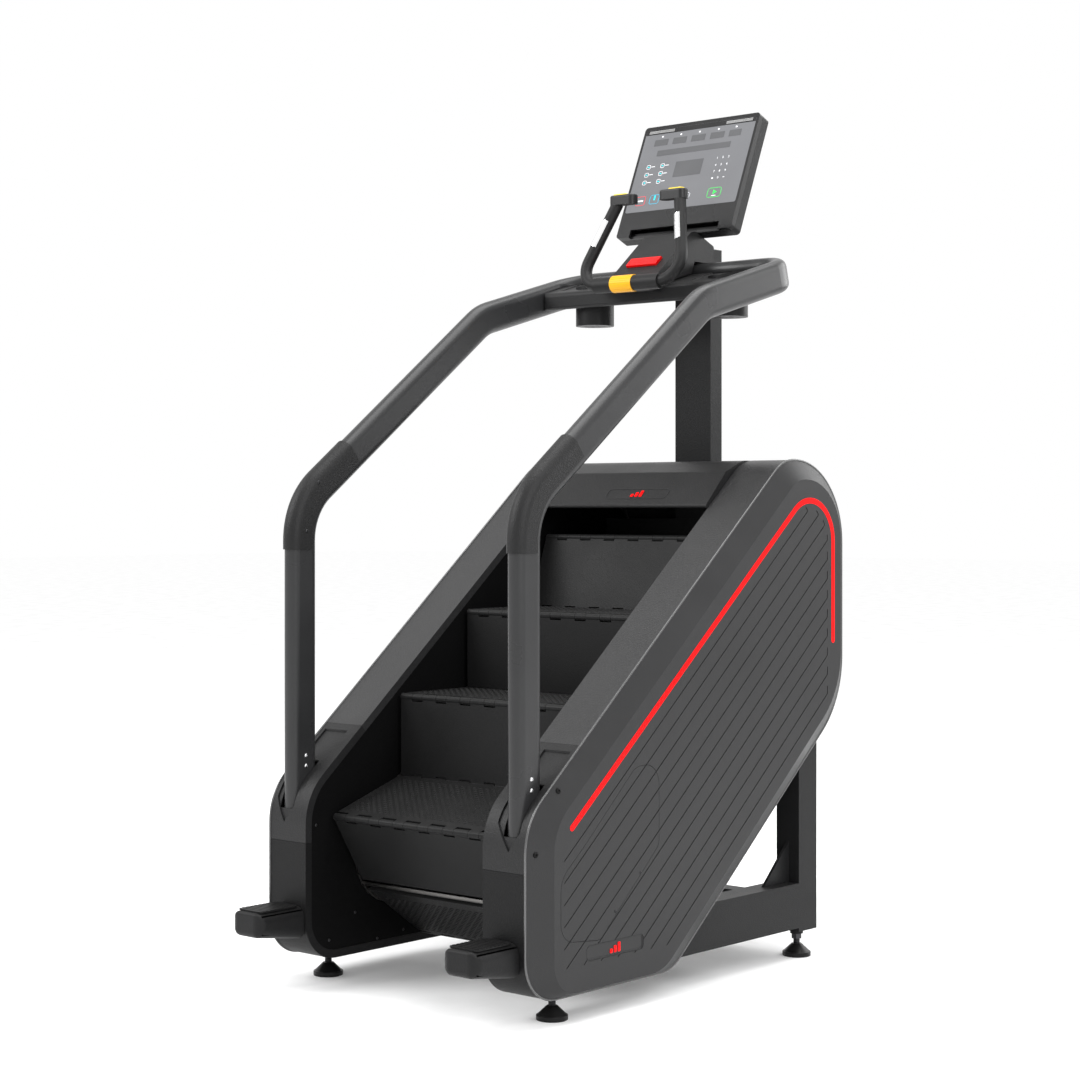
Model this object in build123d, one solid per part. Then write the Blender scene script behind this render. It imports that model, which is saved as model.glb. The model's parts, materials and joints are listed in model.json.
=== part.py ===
from build123d import *
import math
import os

# Stair climber. Millimetres, +Z up, +X to the right of a person on the stairs, +Y the way they climb.
# Heights start at the floor. Depths are drawn about the staircase and shifted by DEPTH_SHIFT on export,
# so that the origin is the middle of the footprint.
FOOTREST_FRONT_Y = -890.0
REAR_Y = 500.0
DEPTH_SHIFT = -(FOOTREST_FRONT_Y + REAR_Y) / 2

# Staircase belt: treads and risers hinged nose to corner, carried by two side chains.
TREAD_DEPTH = 244.0
RISER_HEIGHT = 203.2
CHAIN_PITCH = 31.75
LINKS_PER_STEP = 10
STEP_COUNT = 8
SPROCKET_TEETH = 24
SPROCKET_R = CHAIN_PITCH * SPROCKET_TEETH / (2 * math.pi)
INCLINE = math.radians(39.79)
LOWER_SHAFT = (-454.2, 300.5)
FIRST_CORNER = 138.0
CHAIN_LENGTH = CHAIN_PITCH * LINKS_PER_STEP * STEP_COUNT
STEP_PITCH = CHAIN_PITCH * LINKS_PER_STEP
SHAFT_SPACING = CHAIN_LENGTH / 2 - math.pi * SPROCKET_R
CHAIN_TRAVEL = 31.75

PLATE_HALF_WIDTH = 280.0
PLATE_HALF_THICK = 9.0
RISER_THICK = 6.0
KNUCKLE_PERIOD = 81.5
KNUCKLE_WIDTH = 34.0
NOSE_PIN_R = 4.0
AXLE_R = 6.0
AXLE_HALF_LENGTH = 291.4
RUNNING_CLEARANCE = 0.06
OPEN_PIVOT_GAP = 17.0
CHAIN_X = 286.8
CHAIN_HALF_WIDTH = 4.6
LINK_THICK = 1.3
CHAIN_PLATE_HEIGHT = 15.0
CHAIN_ROLLER_R = 5.1
CHAIN_PIN_R = 2.5

# Side units: an inner panel, edge covers with a lip, and a dished outer panel.
INNER_FACE_X = 293.2
INNER_PANEL_THICK = 4.0
LIP_X = 290.5
LIP_HEIGHT = 20.0
EDGE_X = 417.6
SHELL = 4.0
PANEL_RIM_X = 418.0
PANEL_FACE_X = 440.0
SLOPE = 0.8316
BAND_Y0, BAND_Z0 = -544.7, 633.5
FRONT_Y = -748.0
BOTTOM_Z = 60.0
TOP_Z = 1282.0
BELLY_SLOPE = 0.824
BELLY_Y0, BELLY_Z0 = -76.4, 181.1

POST_X = 368.0
POST_Y = -695.5
TUBE_W = 45.0
TUBE_H = 85.0
TUBE_WALL = 3.0
RAIL_X0, RAIL_X1 = 333.0, 403.0
RAIL_Z0, RAIL_Z1 = 80.0, 195.0
UPRIGHT_Y0, UPRIGHT_Y1 = 327.0, 407.0
FRONT_FOOT_Y = -600.0
REAR_FOOT_Y = 367.0
STEM_R = 8.0
BOSS_Z = 58.0

CONSOLE_TILT = math.radians(22.7)
CONSOLE_WIDTH = 390.0
CONSOLE_HEIGHT = 347.0
CONSOLE_DEPTH = 57.0
CONSOLE_CENTRE = (0.0, 382.0, 2057.0)

os.makedirs("parts", exist_ok=True)


def save(name, *solids):
    """Write one node, moved so that the footprint's middle is the origin."""
    pieces = []
    for shape in solids:
        pieces.extend(shape.solids())
    placed = [Pos(0, DEPTH_SHIFT, 0) * piece for piece in pieces]
    whole = placed[0] if len(placed) == 1 else Compound(children=placed)
    whole.label = name
    export_step(whole, f"parts/{name}.step")


def both_sides(shape):
    """The right-hand piece and its mirror image."""
    return [shape, mirror(shape, about=Plane.YZ)]


def side_face(points, radii):
    """A closed outline drawn in depth and height, with its corners rounded."""
    outline = FilletPolyline(*[(0, y, z) for y, z in points], radius=radii, close=True)
    return make_face(outline)


def side_prism(face, x0, x1):
    """A side outline made into a solid between two widths."""
    return Pos(x0, 0, 0) * extrude(face, amount=x1 - x0, dir=(1, 0, 0))


def block(x0, x1, y0, y1, z0, z1):
    return Pos((x0 + x1) / 2, (y0 + y1) / 2, (z0 + z1) / 2) * Box(x1 - x0, y1 - y0, z1 - z0)


def cross_rod(y, z, radius, x0, x1):
    """A round bar along X."""
    rod = Rot(0, 90, 0) * Cylinder(radius, x1 - x0)
    return Pos((x0 + x1) / 2, y, z) * rod


def parallel(points, distance):
    """The same polyline moved sideways, to its left, by a distance."""
    moved = []
    for i, (y, z) in enumerate(points):
        before = points[max(i - 1, 0)]
        after = points[min(i + 1, len(points) - 1)]
        a = math.atan2(z - before[1], y - before[0]) if i > 0 else None
        b = math.atan2(after[1] - z, after[0] - y) if i < len(points) - 1 else None
        a = b if a is None else a
        b = a if b is None else b
        half = (b - a + math.pi) % (2 * math.pi) - math.pi
        middle = a + half / 2 + math.pi / 2
        reach = distance / math.cos(half / 2)
        moved.append((y + reach * math.cos(middle), z + reach * math.sin(middle)))
    return moved


def strip_face(points, radii, thickness):
    """A bent sheet seen from the side: the path, thickened to its left."""
    other = parallel(points, thickness)
    inner_radii = []
    for i, radius in enumerate(radii):
        y0, z0 = points[i]
        y1, z1 = points[i + 1]
        y2, z2 = points[i + 2]
        turn = (y1 - y0) * (z2 - z1) - (z1 - z0) * (y2 - y1)
        inner_radii.append(max(radius - thickness, 0.5) if turn > 0 else radius + thickness)
    corners = list(points) + other[::-1]
    return side_face(corners, [0] + list(radii) + [0, 0] + inner_radii[::-1] + [0])


# ---------------------------------------------------------------- staircase geometry


def upper_shaft_centre():
    y, z = LOWER_SHAFT
    return (y + SHAFT_SPACING * math.cos(INCLINE), z + SHAFT_SPACING * math.sin(INCLINE))


def chain_point(s):
    """The point a distance s along the chain from the foot of its upper run."""
    s = s % CHAIN_LENGTH
    along = (math.cos(INCLINE), math.sin(INCLINE))
    across = (-along[1], along[0])
    ly, lz = LOWER_SHAFT
    uy, uz = upper_shaft_centre()
    half_turn = math.pi * SPROCKET_R
    if s < SHAFT_SPACING:
        return (ly + SPROCKET_R * across[0] + s * along[0], lz + SPROCKET_R * across[1] + s * along[1])
    s -= SHAFT_SPACING
    if s < half_turn:
        angle = INCLINE + math.pi / 2 - s / SPROCKET_R
        return (uy + SPROCKET_R * math.cos(angle), uz + SPROCKET_R * math.sin(angle))
    s -= half_turn
    if s < SHAFT_SPACING:
        return (uy - SPROCKET_R * across[0] - s * along[0], uz - SPROCKET_R * across[1] - s * along[1])
    s -= SHAFT_SPACING
    angle = INCLINE - math.pi / 2 - s / SPROCKET_R
    return (ly + SPROCKET_R * math.cos(angle), lz + SPROCKET_R * math.sin(angle))


def corner_point(k):
    """The inner corner that carries the back of tread k and the foot of riser k + 1."""
    return chain_point(FIRST_CORNER + STEP_PITCH * (k - 1))


def nose_point(k):
    """Where tread k meets riser k: a tread from one corner, a riser from the corner below."""
    back_y, back_z = corner_point(k)
    foot_y, foot_z = corner_point(k - 1)
    dy, dz = foot_y - back_y, foot_z - back_z
    chord = math.hypot(dy, dz)
    ey, ez = dy / chord, dz / chord
    reach = (TREAD_DEPTH**2 - RISER_HEIGHT**2 + chord**2) / (2 * chord)
    rise = math.sqrt(TREAD_DEPTH**2 - reach**2)
    return (back_y + ey * reach + ez * rise, back_z + ez * reach - ey * rise)


def knuckle_spans(offset, width):
    """The widths along X that one leaf's hinge knuckles fill."""
    spans = []
    x = -PLATE_HALF_WIDTH + offset
    while x + width <= PLATE_HALF_WIDTH + 0.01:
        spans.append((x, x + width))
        x += KNUCKLE_PERIOD
    return spans


TREAD_SPANS = knuckle_spans(KNUCKLE_PERIOD - KNUCKLE_WIDTH - 7, KNUCKLE_WIDTH)


def riser_spans():
    """The knuckles of the riser fill the gaps that the tread's leave, less a millimetre each side."""
    edges = [-PLATE_HALF_WIDTH - 1]
    for x0, x1 in TREAD_SPANS:
        edges += [x0, x1]
    edges.append(PLATE_HALF_WIDTH + 1)
    return [(edges[i] + 1, edges[i + 1] - 1) for i in range(0, len(edges), 2)]


def knuckle_row(s, spans, web_from, web_to, low, high):
    """Barrels about the hinge line at s, each joined to its leaf by a web."""
    row = []
    for x0, x1 in spans:
        row.append(cross_rod(s, 0, PLATE_HALF_THICK, x0, x1))
        row.append(block(x0, x1, web_from, web_to, low, high))
    return row


def leaf(length, spans, plate_low, plate_high, start_bore, end_bore):
    """A flat leaf from hinge line 0 to hinge line length, along +Y, its outer face up."""
    start = PLATE_HALF_THICK + 1.2 if start_bore is not None else OPEN_PIVOT_GAP
    end = length - PLATE_HALF_THICK - 1.2 if end_bore is not None else length - OPEN_PIVOT_GAP
    body = block(-PLATE_HALF_WIDTH, PLATE_HALF_WIDTH, start, end, plate_low, plate_high)
    pieces = []
    if start_bore is not None:
        pieces += knuckle_row(0, spans, 0, start + 1, plate_low, plate_high)
    if end_bore is not None:
        pieces += knuckle_row(length, spans, end - 1, length, plate_low, plate_high)
    body = body + pieces
    if start_bore is not None:
        body -= cross_rod(0, 0, start_bore, -PLATE_HALF_WIDTH, PLATE_HALF_WIDTH)
    if end_bore is not None:
        body -= cross_rod(length, 0, end_bore, -PLATE_HALF_WIDTH, PLATE_HALF_WIDTH)
    return body


CORNER_BORE = AXLE_R + RUNNING_CLEARANCE


def make_tread(open_corner):
    """Tread from its back corner at 0 to its nose at TREAD_DEPTH, with the nose pin fixed in it."""
    corner_bore = None if open_corner else CORNER_BORE
    tread = leaf(TREAD_DEPTH, TREAD_SPANS, -PLATE_HALF_THICK, PLATE_HALF_THICK, corner_bore, NOSE_PIN_R)
    rib_gap = 92.0
    for i in range(6):
        x0 = -PLATE_HALF_WIDTH + 6 + i * (rib_gap + 1.2)
        tread -= block(x0, x0 + rib_gap - 4, 26, TREAD_DEPTH - 18, -PLATE_HALF_THICK - 1, PLATE_HALF_THICK - 4)
    return tread + cross_rod(TREAD_DEPTH, 0, NOSE_PIN_R, -PLATE_HALF_WIDTH, PLATE_HALF_WIDTH)


def make_riser(open_corner):
    """Riser from its nose at 0 to its foot at RISER_HEIGHT, with three stiffening ribs behind it."""
    corner_bore = None if open_corner else CORNER_BORE
    top = PLATE_HALF_THICK - 2
    bore = NOSE_PIN_R + RUNNING_CLEARANCE
    riser = leaf(RISER_HEIGHT, riser_spans(), top - RISER_THICK, top, bore, corner_bore)
    for x in (-180.0, 0.0, 180.0):
        riser += block(x - 2, x + 2, 24, RISER_HEIGHT - 30, -8, top - RISER_THICK + 0.5)
    return riser


def lay_leaf(shape, start, end):
    """Place a leaf so that it runs from start to end, keeping its outer face away from the belt."""
    angle = math.degrees(math.atan2(end[1] - start[1], end[0] - start[0]))
    return Pos(0, start[0], start[1]) * (Rot(angle, 0, 0) * shape)


def place_tread(k, open_corner=False):
    flipped = mirror(make_tread(open_corner), about=Plane.XY)
    return lay_leaf(flipped, corner_point(k), nose_point(k))


def place_riser(k, open_corner=False):
    flipped = mirror(make_riser(open_corner), about=Plane.XY)
    return lay_leaf(flipped, nose_point(k), corner_point(k - 1))


def link_plate(p, q, x0, x1):
    """A chain side plate with round ends between two pins."""
    length = math.hypot(q[0] - p[0], q[1] - p[1])
    angle = math.degrees(math.atan2(q[1] - p[1], q[0] - p[0]))
    half = CHAIN_PLATE_HEIGHT / 2
    plate = block(x0, x1, 0, length, -half, half)
    plate += [cross_rod(0, 0, half, x0, x1), cross_rod(length, 0, half, x0, x1)]
    return Pos(0, p[0], p[1]) * (Rot(angle, 0, 0) * plate)


def chain_strand(s_first, link_count, corners):
    """Links from the pin at s_first on, as one riveted strand on the right-hand side."""
    pins = [chain_point(s_first + i * CHAIN_PITCH) for i in range(link_count + 1)]
    pieces = []
    for y, z in pins:
        pieces.append(cross_rod(y, z, CHAIN_PIN_R, CHAIN_X - CHAIN_HALF_WIDTH, CHAIN_X + CHAIN_HALF_WIDTH))
        pieces.append(cross_rod(y, z, CHAIN_ROLLER_R, CHAIN_X - 1.6, CHAIN_X + 1.6))
    for i in range(link_count):
        outer = CHAIN_HALF_WIDTH - (0.0 if i % 2 == 0 else LINK_THICK + 0.2)
        inner = outer - LINK_THICK
        pieces.append(link_plate(pins[i], pins[i + 1], CHAIN_X - outer, CHAIN_X - inner))
        pieces.append(link_plate(pins[i], pins[i + 1], CHAIN_X + inner, CHAIN_X + outer))
    strand = pieces[0] + pieces[1:]
    for k in corners:
        y, z = corner_point(k)
        strand += cross_rod(y, z, AXLE_R + 1.4, CHAIN_X - CHAIN_HALF_WIDTH, CHAIN_X + CHAIN_HALF_WIDTH)
        strand -= cross_rod(y, z, AXLE_R, CHAIN_X - 10, CHAIN_X + 10)
    return strand


def corner_axles(corners):
    axles = []
    for k in corners:
        y, z = corner_point(k)
        axles.append(cross_rod(y, z, AXLE_R, -AXLE_HALF_LENGTH, AXLE_HALF_LENGTH))
    return axles


def sprocket_face(centre):
    """A sprocket's outline, seen from the side, with a seat for every roller of the chain."""
    cy, cz = centre
    tip = SPROCKET_R + 4.4
    disc = side_disc(cy, cz, tip)
    first = chain_point(FIRST_CORNER + STEP_PITCH * (3 if cy > 0 else -1))
    start = math.atan2(first[1] - cz, first[0] - cy)
    cuts = []
    for i in range(SPROCKET_TEETH):
        angle = start + 2 * math.pi * i / SPROCKET_TEETH
        y = cy + SPROCKET_R * math.cos(angle)
        z = cz + SPROCKET_R * math.sin(angle)
        seat = AXLE_R + 2.0 if i == 0 else CHAIN_ROLLER_R + 0.6
        cuts.append(side_disc(y, z, seat))
        mouth = side_face([(-1, -seat), (8, -10), (8, 10), (-1, seat)], 0)
        mouth = Pos(0, y, z) * (Rot(math.degrees(angle), 0, 0) * mouth)
        cuts.append(mouth)
    return disc - cuts


def side_disc(y, z, radius):
    return Pos(0, y, z) * (Rot(0, 90, 0) * Circle(radius))


def make_shaft(centre, x0, x1, radius):
    """A shaft with its two sprockets welded on."""
    y, z = centre
    shaft = cross_rod(y, z, radius, x0, x1)
    plate = side_prism(sprocket_face(centre), CHAIN_X - 1.3, CHAIN_X + 1.3)
    for i in range(6):
        angle = math.radians(60 * i + 15)
        plate -= cross_rod(y + 72 * math.cos(angle), z + 72 * math.sin(angle), 26, CHAIN_X - 9, CHAIN_X + 9)
    hub = cross_rod(y, z, radius + 12, CHAIN_X - 16, CHAIN_X + 10)
    return shaft + both_sides(plate) + both_sides(hub)


def build_staircase():
    upper = [1, 2, 3]
    lower = [-1, -2, -3]
    save("tread_1", place_tread(1))
    save("riser_1", place_riser(1, open_corner=True))
    save("tread_2", place_tread(2))
    save("riser_2", place_riser(2))
    save("tread_3", place_tread(3))
    save("riser_3", place_riser(3))
    save("tread_4", place_tread(4, open_corner=True))
    save("riser_4", place_riser(4))
    save("tread_bottom", place_tread(0, open_corner=True))
    save("riser_bottom", place_riser(0))
    save("tread_behind", place_tread(-3))
    save("riser_behind", place_riser(-3, open_corner=True))
    save("return_steps", place_tread(-1), place_riser(-1), place_tread(-2), place_riser(-2))
    below = math.floor((FIRST_CORNER - CHAIN_TRAVEL) / CHAIN_PITCH)
    above = math.floor((SHAFT_SPACING - FIRST_CORNER - 2 * STEP_PITCH - CHAIN_TRAVEL) / CHAIN_PITCH)
    run_links = below + 2 * LINKS_PER_STEP + above
    wrap_links = 2 * LINKS_PER_STEP - below - above - 2
    run_start = FIRST_CORNER - below * CHAIN_PITCH
    half_loop = 4 * STEP_PITCH
    save("upper_chains", *both_sides(chain_strand(run_start, run_links, upper)), *corner_axles(upper))
    run = chain_strand(run_start - half_loop, run_links, lower)
    save("return_chains", *both_sides(run), *corner_axles(lower))
    wrap_start = run_start + (run_links + 1) * CHAIN_PITCH
    save("upper_turn_chains", *both_sides(chain_strand(wrap_start, wrap_links, [4])), *corner_axles([4]))
    turn = chain_strand(wrap_start - half_loop, wrap_links, [0])
    save("lower_turn_chains", *both_sides(turn), *corner_axles([0]))


# ---------------------------------------------------------------- drive and bearings

SHAFT_R = 17.5
PULLEY_R = 92.0
PULLEY_X0, PULLEY_X1 = -392.0, -368.0
MOTOR_PULLEY_R = 25.0
FLYWHEEL_CENTRE = (-60.0, 470.0)
FLYWHEEL_R = 110.0


def build_drive():
    upper = upper_shaft_centre()
    save("upper_shaft", make_shaft(upper, -394, 342, SHAFT_R))
    save("lower_shaft", make_shaft(LOWER_SHAFT, -342, 342, SHAFT_R))
    pulley = cross_rod(*upper, PULLEY_R, PULLEY_X0, PULLEY_X1)
    pulley -= cross_rod(*upper, PULLEY_R - 12, PULLEY_X0 - 1, PULLEY_X0 + 8)
    pulley -= cross_rod(*upper, PULLEY_R - 12, PULLEY_X1 - 8, PULLEY_X1 + 1)
    pulley += cross_rod(*upper, SHAFT_R + 12, PULLEY_X0, PULLEY_X1)
    pulley -= cross_rod(*upper, SHAFT_R, PULLEY_X0 - 5, PULLEY_X1 + 5)
    save("drive_pulley", pulley)
    fy, fz = FLYWHEEL_CENTRE
    wheel = cross_rod(fy, fz, FLYWHEEL_R, -362, -348)
    wheel -= [cross_rod(fy, fz, FLYWHEEL_R - 22, -363, -358), cross_rod(fy, fz, FLYWHEEL_R - 22, -352, -347)]
    wheel += cross_rod(fy, fz, 24, -364, -346)
    wheel += cross_rod(fy, fz, MOTOR_PULLEY_R, PULLEY_X0, PULLEY_X1)
    wheel += cross_rod(fy, fz, 8, PULLEY_X0, -320)
    save("flywheel", wheel)
    body = cross_rod(fy, fz, 62, -344, -312)
    body += block(-344, -308.1, fy - 75, fy + 75, fz - 12, fz + 12)
    body -= cross_rod(fy, fz, 8 + RUNNING_CLEARANCE, -350, -319)
    save("alternator", body)
    save("drive_belt", make_belt(upper, FLYWHEEL_CENTRE))
    save("shaft_bearings", *both_sides(make_bearing(upper)), *both_sides(make_bearing(LOWER_SHAFT)))


def make_belt(big, small):
    """A flat loop about the two pulleys, standing a little off their rims."""
    gap, thick = 0.4, 3.0
    x0, x1 = PULLEY_X0 + 3, PULLEY_X1 - 3

    def loop(extra):
        big_rim = (Pos(*big) * Circle(PULLEY_R + extra)).edges()
        small_rim = (Pos(*small) * Circle(MOTOR_PULLEY_R + extra)).edges()
        return side_prism(Plane.YZ * make_hull(big_rim + small_rim), x0, x1)

    return loop(gap + thick) - loop(gap)


def make_bearing(centre):
    """A flanged block for one end of a shaft, bolted to the side frame."""
    y, z = centre
    turn = math.degrees(INCLINE)
    flange = Rot(turn, 0, 0) * block(308.1, 318, -58, 58, -38, 38)
    bearing = Pos(0, y, z) * flange
    bearing += cross_rod(y, z, 36, 308.1, 338)
    return bearing - cross_rod(y, z, SHAFT_R + 0.05, 300, 345)


# ---------------------------------------------------------------- side units


def band_z(y):
    return BAND_Z0 + SLOPE * (y - BAND_Y0)


def band_y(z):
    return BAND_Y0 + (z - BAND_Z0) / SLOPE


def belly_y(z):
    return BELLY_Y0 + (z - BELLY_Z0) / BELLY_SLOPE


def rim_points():
    belly_at_rear = BELLY_Z0 + BELLY_SLOPE * (REAR_Y - BELLY_Y0)
    return [
        (FRONT_Y, BOTTOM_Z),
        (FRONT_Y, band_z(FRONT_Y)),
        (band_y(TOP_Z), TOP_Z),
        (REAR_Y, TOP_Z),
        (REAR_Y, belly_at_rear),
        (belly_y(BOTTOM_Z), BOTTOM_Z),
    ]


RIM_RADII = [100, 155, 130, 212, 250, 120]
FACE_RADII = [75, 130, 90, 155, 220, 120]
BAND_BEVEL = 60.0
BELLY_BEVEL = 45.0


def face_points():
    """The flat outer face of a side panel, inside the bevel that runs round it."""
    front = FRONT_Y + 73
    rear = REAR_Y - 35
    top = TOP_Z - 50
    bottom = BOTTOM_Z + 10
    band_drop = BAND_BEVEL * math.hypot(1, SLOPE)
    belly_lift = BELLY_BEVEL * math.hypot(1, BELLY_SLOPE)
    return [
        (front, bottom),
        (front, band_z(front) - band_drop),
        (band_y(top + band_drop), top),
        (rear, top),
        (rear, BELLY_Z0 + belly_lift + BELLY_SLOPE * (rear - BELLY_Y0)),
        (belly_y(bottom - belly_lift), bottom),
    ]


def rim_face(inset=0.0):
    face = side_face(rim_points(), RIM_RADII)
    return offset(face, -inset) if inset else face


def dish(inset, depth_inset):
    """The solid under a side panel's skin: the rim outline ruled to the smaller flat face."""
    rim = rim_face(inset)
    flat = side_face(face_points(), FACE_RADII)
    if inset:
        flat = offset(flat, -inset)
    low = PANEL_RIM_X - (0.5 if inset else 0.0)
    return loft([Pos(low, 0, 0) * rim, Pos(PANEL_FACE_X - depth_inset, 0, 0) * flat], ruled=True)


STRIPE_WIDTH = 14.5
STRIPE_Y0, STRIPE_Z0 = -614.0, 442.0
STRIPE_SLOPE = 0.8185
STRIPE_REAR_Y = 428.0
STRIPE_END_Z = 817.0
STRIPE_RADIUS = 105.0
GROOVE_COUNT = 12
GROOVE_PITCH = 38.3
GROOVE_WIDTH = 3.0
GROOVE_DEPTH = 1.6
GROOVE_HOOK = 19.0
GROOVE_LIMIT = 26.0


def stripe_line(y, below=0.0):
    """Height of the line that lies a distance below the stripe's sloping part."""
    return STRIPE_Z0 + STRIPE_SLOPE * (y - STRIPE_Y0) - below * math.hypot(1, STRIPE_SLOPE)


def ribbon(points, radii, width, x0, x1, round_ends=True):
    """A flat band of a given width along a path in the side plane."""
    upper = parallel(points, width / 2)
    lower = parallel(points, -width / 2)
    if len(points) > 2:
        upper_radii = []
        lower_radii = []
        for i, radius in enumerate(radii):
            (y0, z0), (y1, z1), (y2, z2) = points[i : i + 3]
            left = (y1 - y0) * (z2 - z1) - (z1 - z0) * (y2 - y1) > 0
            upper_radii.append(max(radius - width / 2 if left else radius + width / 2, 0.2))
            lower_radii.append(max(radius + width / 2 if left else radius - width / 2, 0.2))
        ring = [0] + lower_radii + [0, 0] + upper_radii[::-1] + [0]
        whole = side_face(lower + upper[::-1], ring)
    else:
        whole = side_face(lower + upper[::-1], 0)
    if round_ends:
        whole = whole + [side_disc(*points[0], width / 2), side_disc(*points[-1], width / 2)]
    return side_prism(whole, x0, x1)


def stripe_path():
    return [
        (STRIPE_Y0, STRIPE_Z0),
        (STRIPE_REAR_Y, stripe_line(STRIPE_REAR_Y)),
        (STRIPE_REAR_Y, STRIPE_END_Z),
    ]


def stripe_arc():
    """Centre of the stripe's bend and the height where it turns straight down."""
    turn = math.pi / 2 + math.atan(STRIPE_SLOPE)
    z = stripe_line(STRIPE_REAR_Y) - STRIPE_RADIUS * math.tan(turn / 2)
    return STRIPE_REAR_Y - STRIPE_RADIUS, z


def groove_path(k):
    """Groove k: a line parallel to the stripe that hooks along the stripe's inner side."""
    below = GROOVE_PITCH * k
    limit_y = STRIPE_REAR_Y - GROOVE_LIMIT
    arc_y, arc_z = stripe_arc()
    arc_r = STRIPE_RADIUS - GROOVE_LIMIT
    bend = (limit_y, stripe_line(limit_y, below))
    tip = (limit_y, bend[1] + GROOVE_HOOK)
    if tip[1] > arc_z:
        heading = math.atan(STRIPE_SLOPE)
        offset_from_arc = (stripe_line(arc_y, below) - arc_z) * math.cos(heading)
        reach = math.sqrt(max(arc_r**2 - offset_from_arc**2, 0))
        y = arc_y - offset_from_arc * math.sin(heading) + reach * math.cos(heading)
        z = arc_z + offset_from_arc * math.cos(heading) + reach * math.sin(heading)
        around = math.atan2(z - arc_z, y - arc_y) + math.pi / 2
        hook = min(around, heading + math.radians(95))
        bend = (y, z)
        tip = (y + 0.7 * GROOVE_HOOK * math.cos(hook), z + 0.7 * GROOVE_HOOK * math.sin(hook))
    start_y = max(-640.0, STRIPE_Y0 + (130 + below * math.hypot(1, STRIPE_SLOPE) - STRIPE_Z0) / STRIPE_SLOPE)
    return [(start_y, stripe_line(start_y, below)), bend, tip]


HATCH = [(-652, 330), (-652, 190), (-516, 177), (-300, 370), (-300, 560), (-386, 560), (-560, 405)]
HATCH_RADII = [60, 45, 25, 30, 50, 60, 60]
BADGE = (-461.0, 152.0)
BADGE_SIZE = (205.0, 36.0)


def badge_outline(grow=0.0):
    y, z = BADGE
    w, h = BADGE_SIZE[0] / 2 + grow, BADGE_SIZE[1] / 2 + grow
    return side_face([(y - w, z - h), (y + w, z - h), (y + w, z + h), (y - w, z + h)], h * 0.6)


def make_side_panel():
    """The right-hand outer panel and its access hatch."""
    panel = dish(0.0, 0.0) - dish(SHELL, SHELL)
    face = PANEL_FACE_X
    for k in range(1, GROOVE_COUNT + 1):
        panel -= ribbon(groove_path(k), [5], GROOVE_WIDTH, face - GROOVE_DEPTH, face + 5)
    panel -= side_prism(badge_outline(), face - GROOVE_DEPTH, face + 5)
    stripe = ribbon(stripe_path(), [STRIPE_RADIUS], STRIPE_WIDTH + 0.6, face - 1.5, face + 5)
    panel -= stripe
    hatch_face = side_face(HATCH, HATCH_RADII)
    hatch = panel & side_prism(hatch_face, face - SHELL - 1, face + 1)
    panel -= side_prism(offset(hatch_face, 1.0), face - SHELL - 1, face + 1)
    for y, z in ((-368, 312), (-460, 234)):
        hatch -= cross_rod(y, z, 2.2, face - SHELL - 1, face + 1)
    return panel, hatch


def edge_shell():
    """The L-section that closes a side unit's rim, all the way round."""
    outer = rim_face()
    wall = side_prism(outer - rim_face(SHELL), LIP_X, EDGE_X)
    lip = side_prism(outer - rim_face(LIP_HEIGHT), LIP_X, INNER_FACE_X - 0.3)
    shell = wall + lip
    shell -= block(RAIL_X0 - 2, RAIL_X1 + 2, -300, 600, RAIL_Z0 - 2, RAIL_Z1 + 2)
    shell -= block(RAIL_X0 - 2, RAIL_X1 + 2, UPRIGHT_Y0 - 2, UPRIGHT_Y1 + 2, 0, 800)
    shell -= Pos(POST_X, FRONT_FOOT_Y, BOTTOM_Z) * Cylinder(21, 30)
    return shell


COLLAR_Z = 350.0
COLLAR_TOP_Y = -560.0
STRINGER_END_Y = 288.0
COVER_GAP = 0.8
NOTCH_APEX_Z = 395.0


def make_edge_covers():
    """Front cover, post collar, stringer cover and rear edge cover of the right-hand side unit."""
    shell = edge_shell()
    half = COVER_GAP / 2
    low_rear = belly_y(BOTTOM_Z)
    front = shell & block(250, 430, FRONT_Y - 5, low_rear, 0, COLLAR_Z - half)
    cut = math.atan(SLOPE)
    normal = (-math.sin(cut), math.cos(cut))
    z_cut = band_z(COLLAR_TOP_Y)
    below = side_face(
        [
            (FRONT_Y - 20, COLLAR_Z + half),
            (COLLAR_TOP_Y - 60 * normal[0] - half, COLLAR_Z + half),
            (COLLAR_TOP_Y - 60 * normal[0] - half, z_cut - 60 * normal[1]),
            (COLLAR_TOP_Y + 40 * normal[0] - half, z_cut + 40 * normal[1]),
            (FRONT_Y - 20, z_cut + 40),
        ],
        0,
    )
    above = side_face(
        [
            (COLLAR_TOP_Y - 60 * normal[0] + half, z_cut - 60 * normal[1]),
            (STRINGER_END_Y - half, 900),
            (STRINGER_END_Y - half, TOP_Z + 40),
            (COLLAR_TOP_Y + 40 * normal[0] + half, TOP_Z + 40),
            (COLLAR_TOP_Y + 40 * normal[0] + half, z_cut + 40 * normal[1]),
        ],
        0,
    )
    collar = shell & side_prism(below, 250, 430)
    stringer = shell & side_prism(above, 250, 430)
    behind = block(250, 430, STRINGER_END_Y + half, 600, 0, 1400)
    underneath = block(250, 430, low_rear + half, 400, 0, 800)
    rear = shell & (behind + underneath)
    notch = Wire.make_polygon(
        [
            (POST_X, FRONT_Y - 10, NOTCH_APEX_Z),
            (POST_X + 36, FRONT_Y - 10, NOTCH_APEX_Z + 58),
            (POST_X + 36, FRONT_Y - 10, NOTCH_APEX_Z + 400),
            (POST_X - 44, FRONT_Y - 10, NOTCH_APEX_Z + 400),
            (POST_X - 44, FRONT_Y - 10, NOTCH_APEX_Z + 62),
        ],
        close=True,
    )
    collar -= extrude(Face(notch), amount=COLLAR_TOP_Y - FRONT_Y - 6, dir=(0, 1, 0))
    return front, collar, stringer, rear


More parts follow.
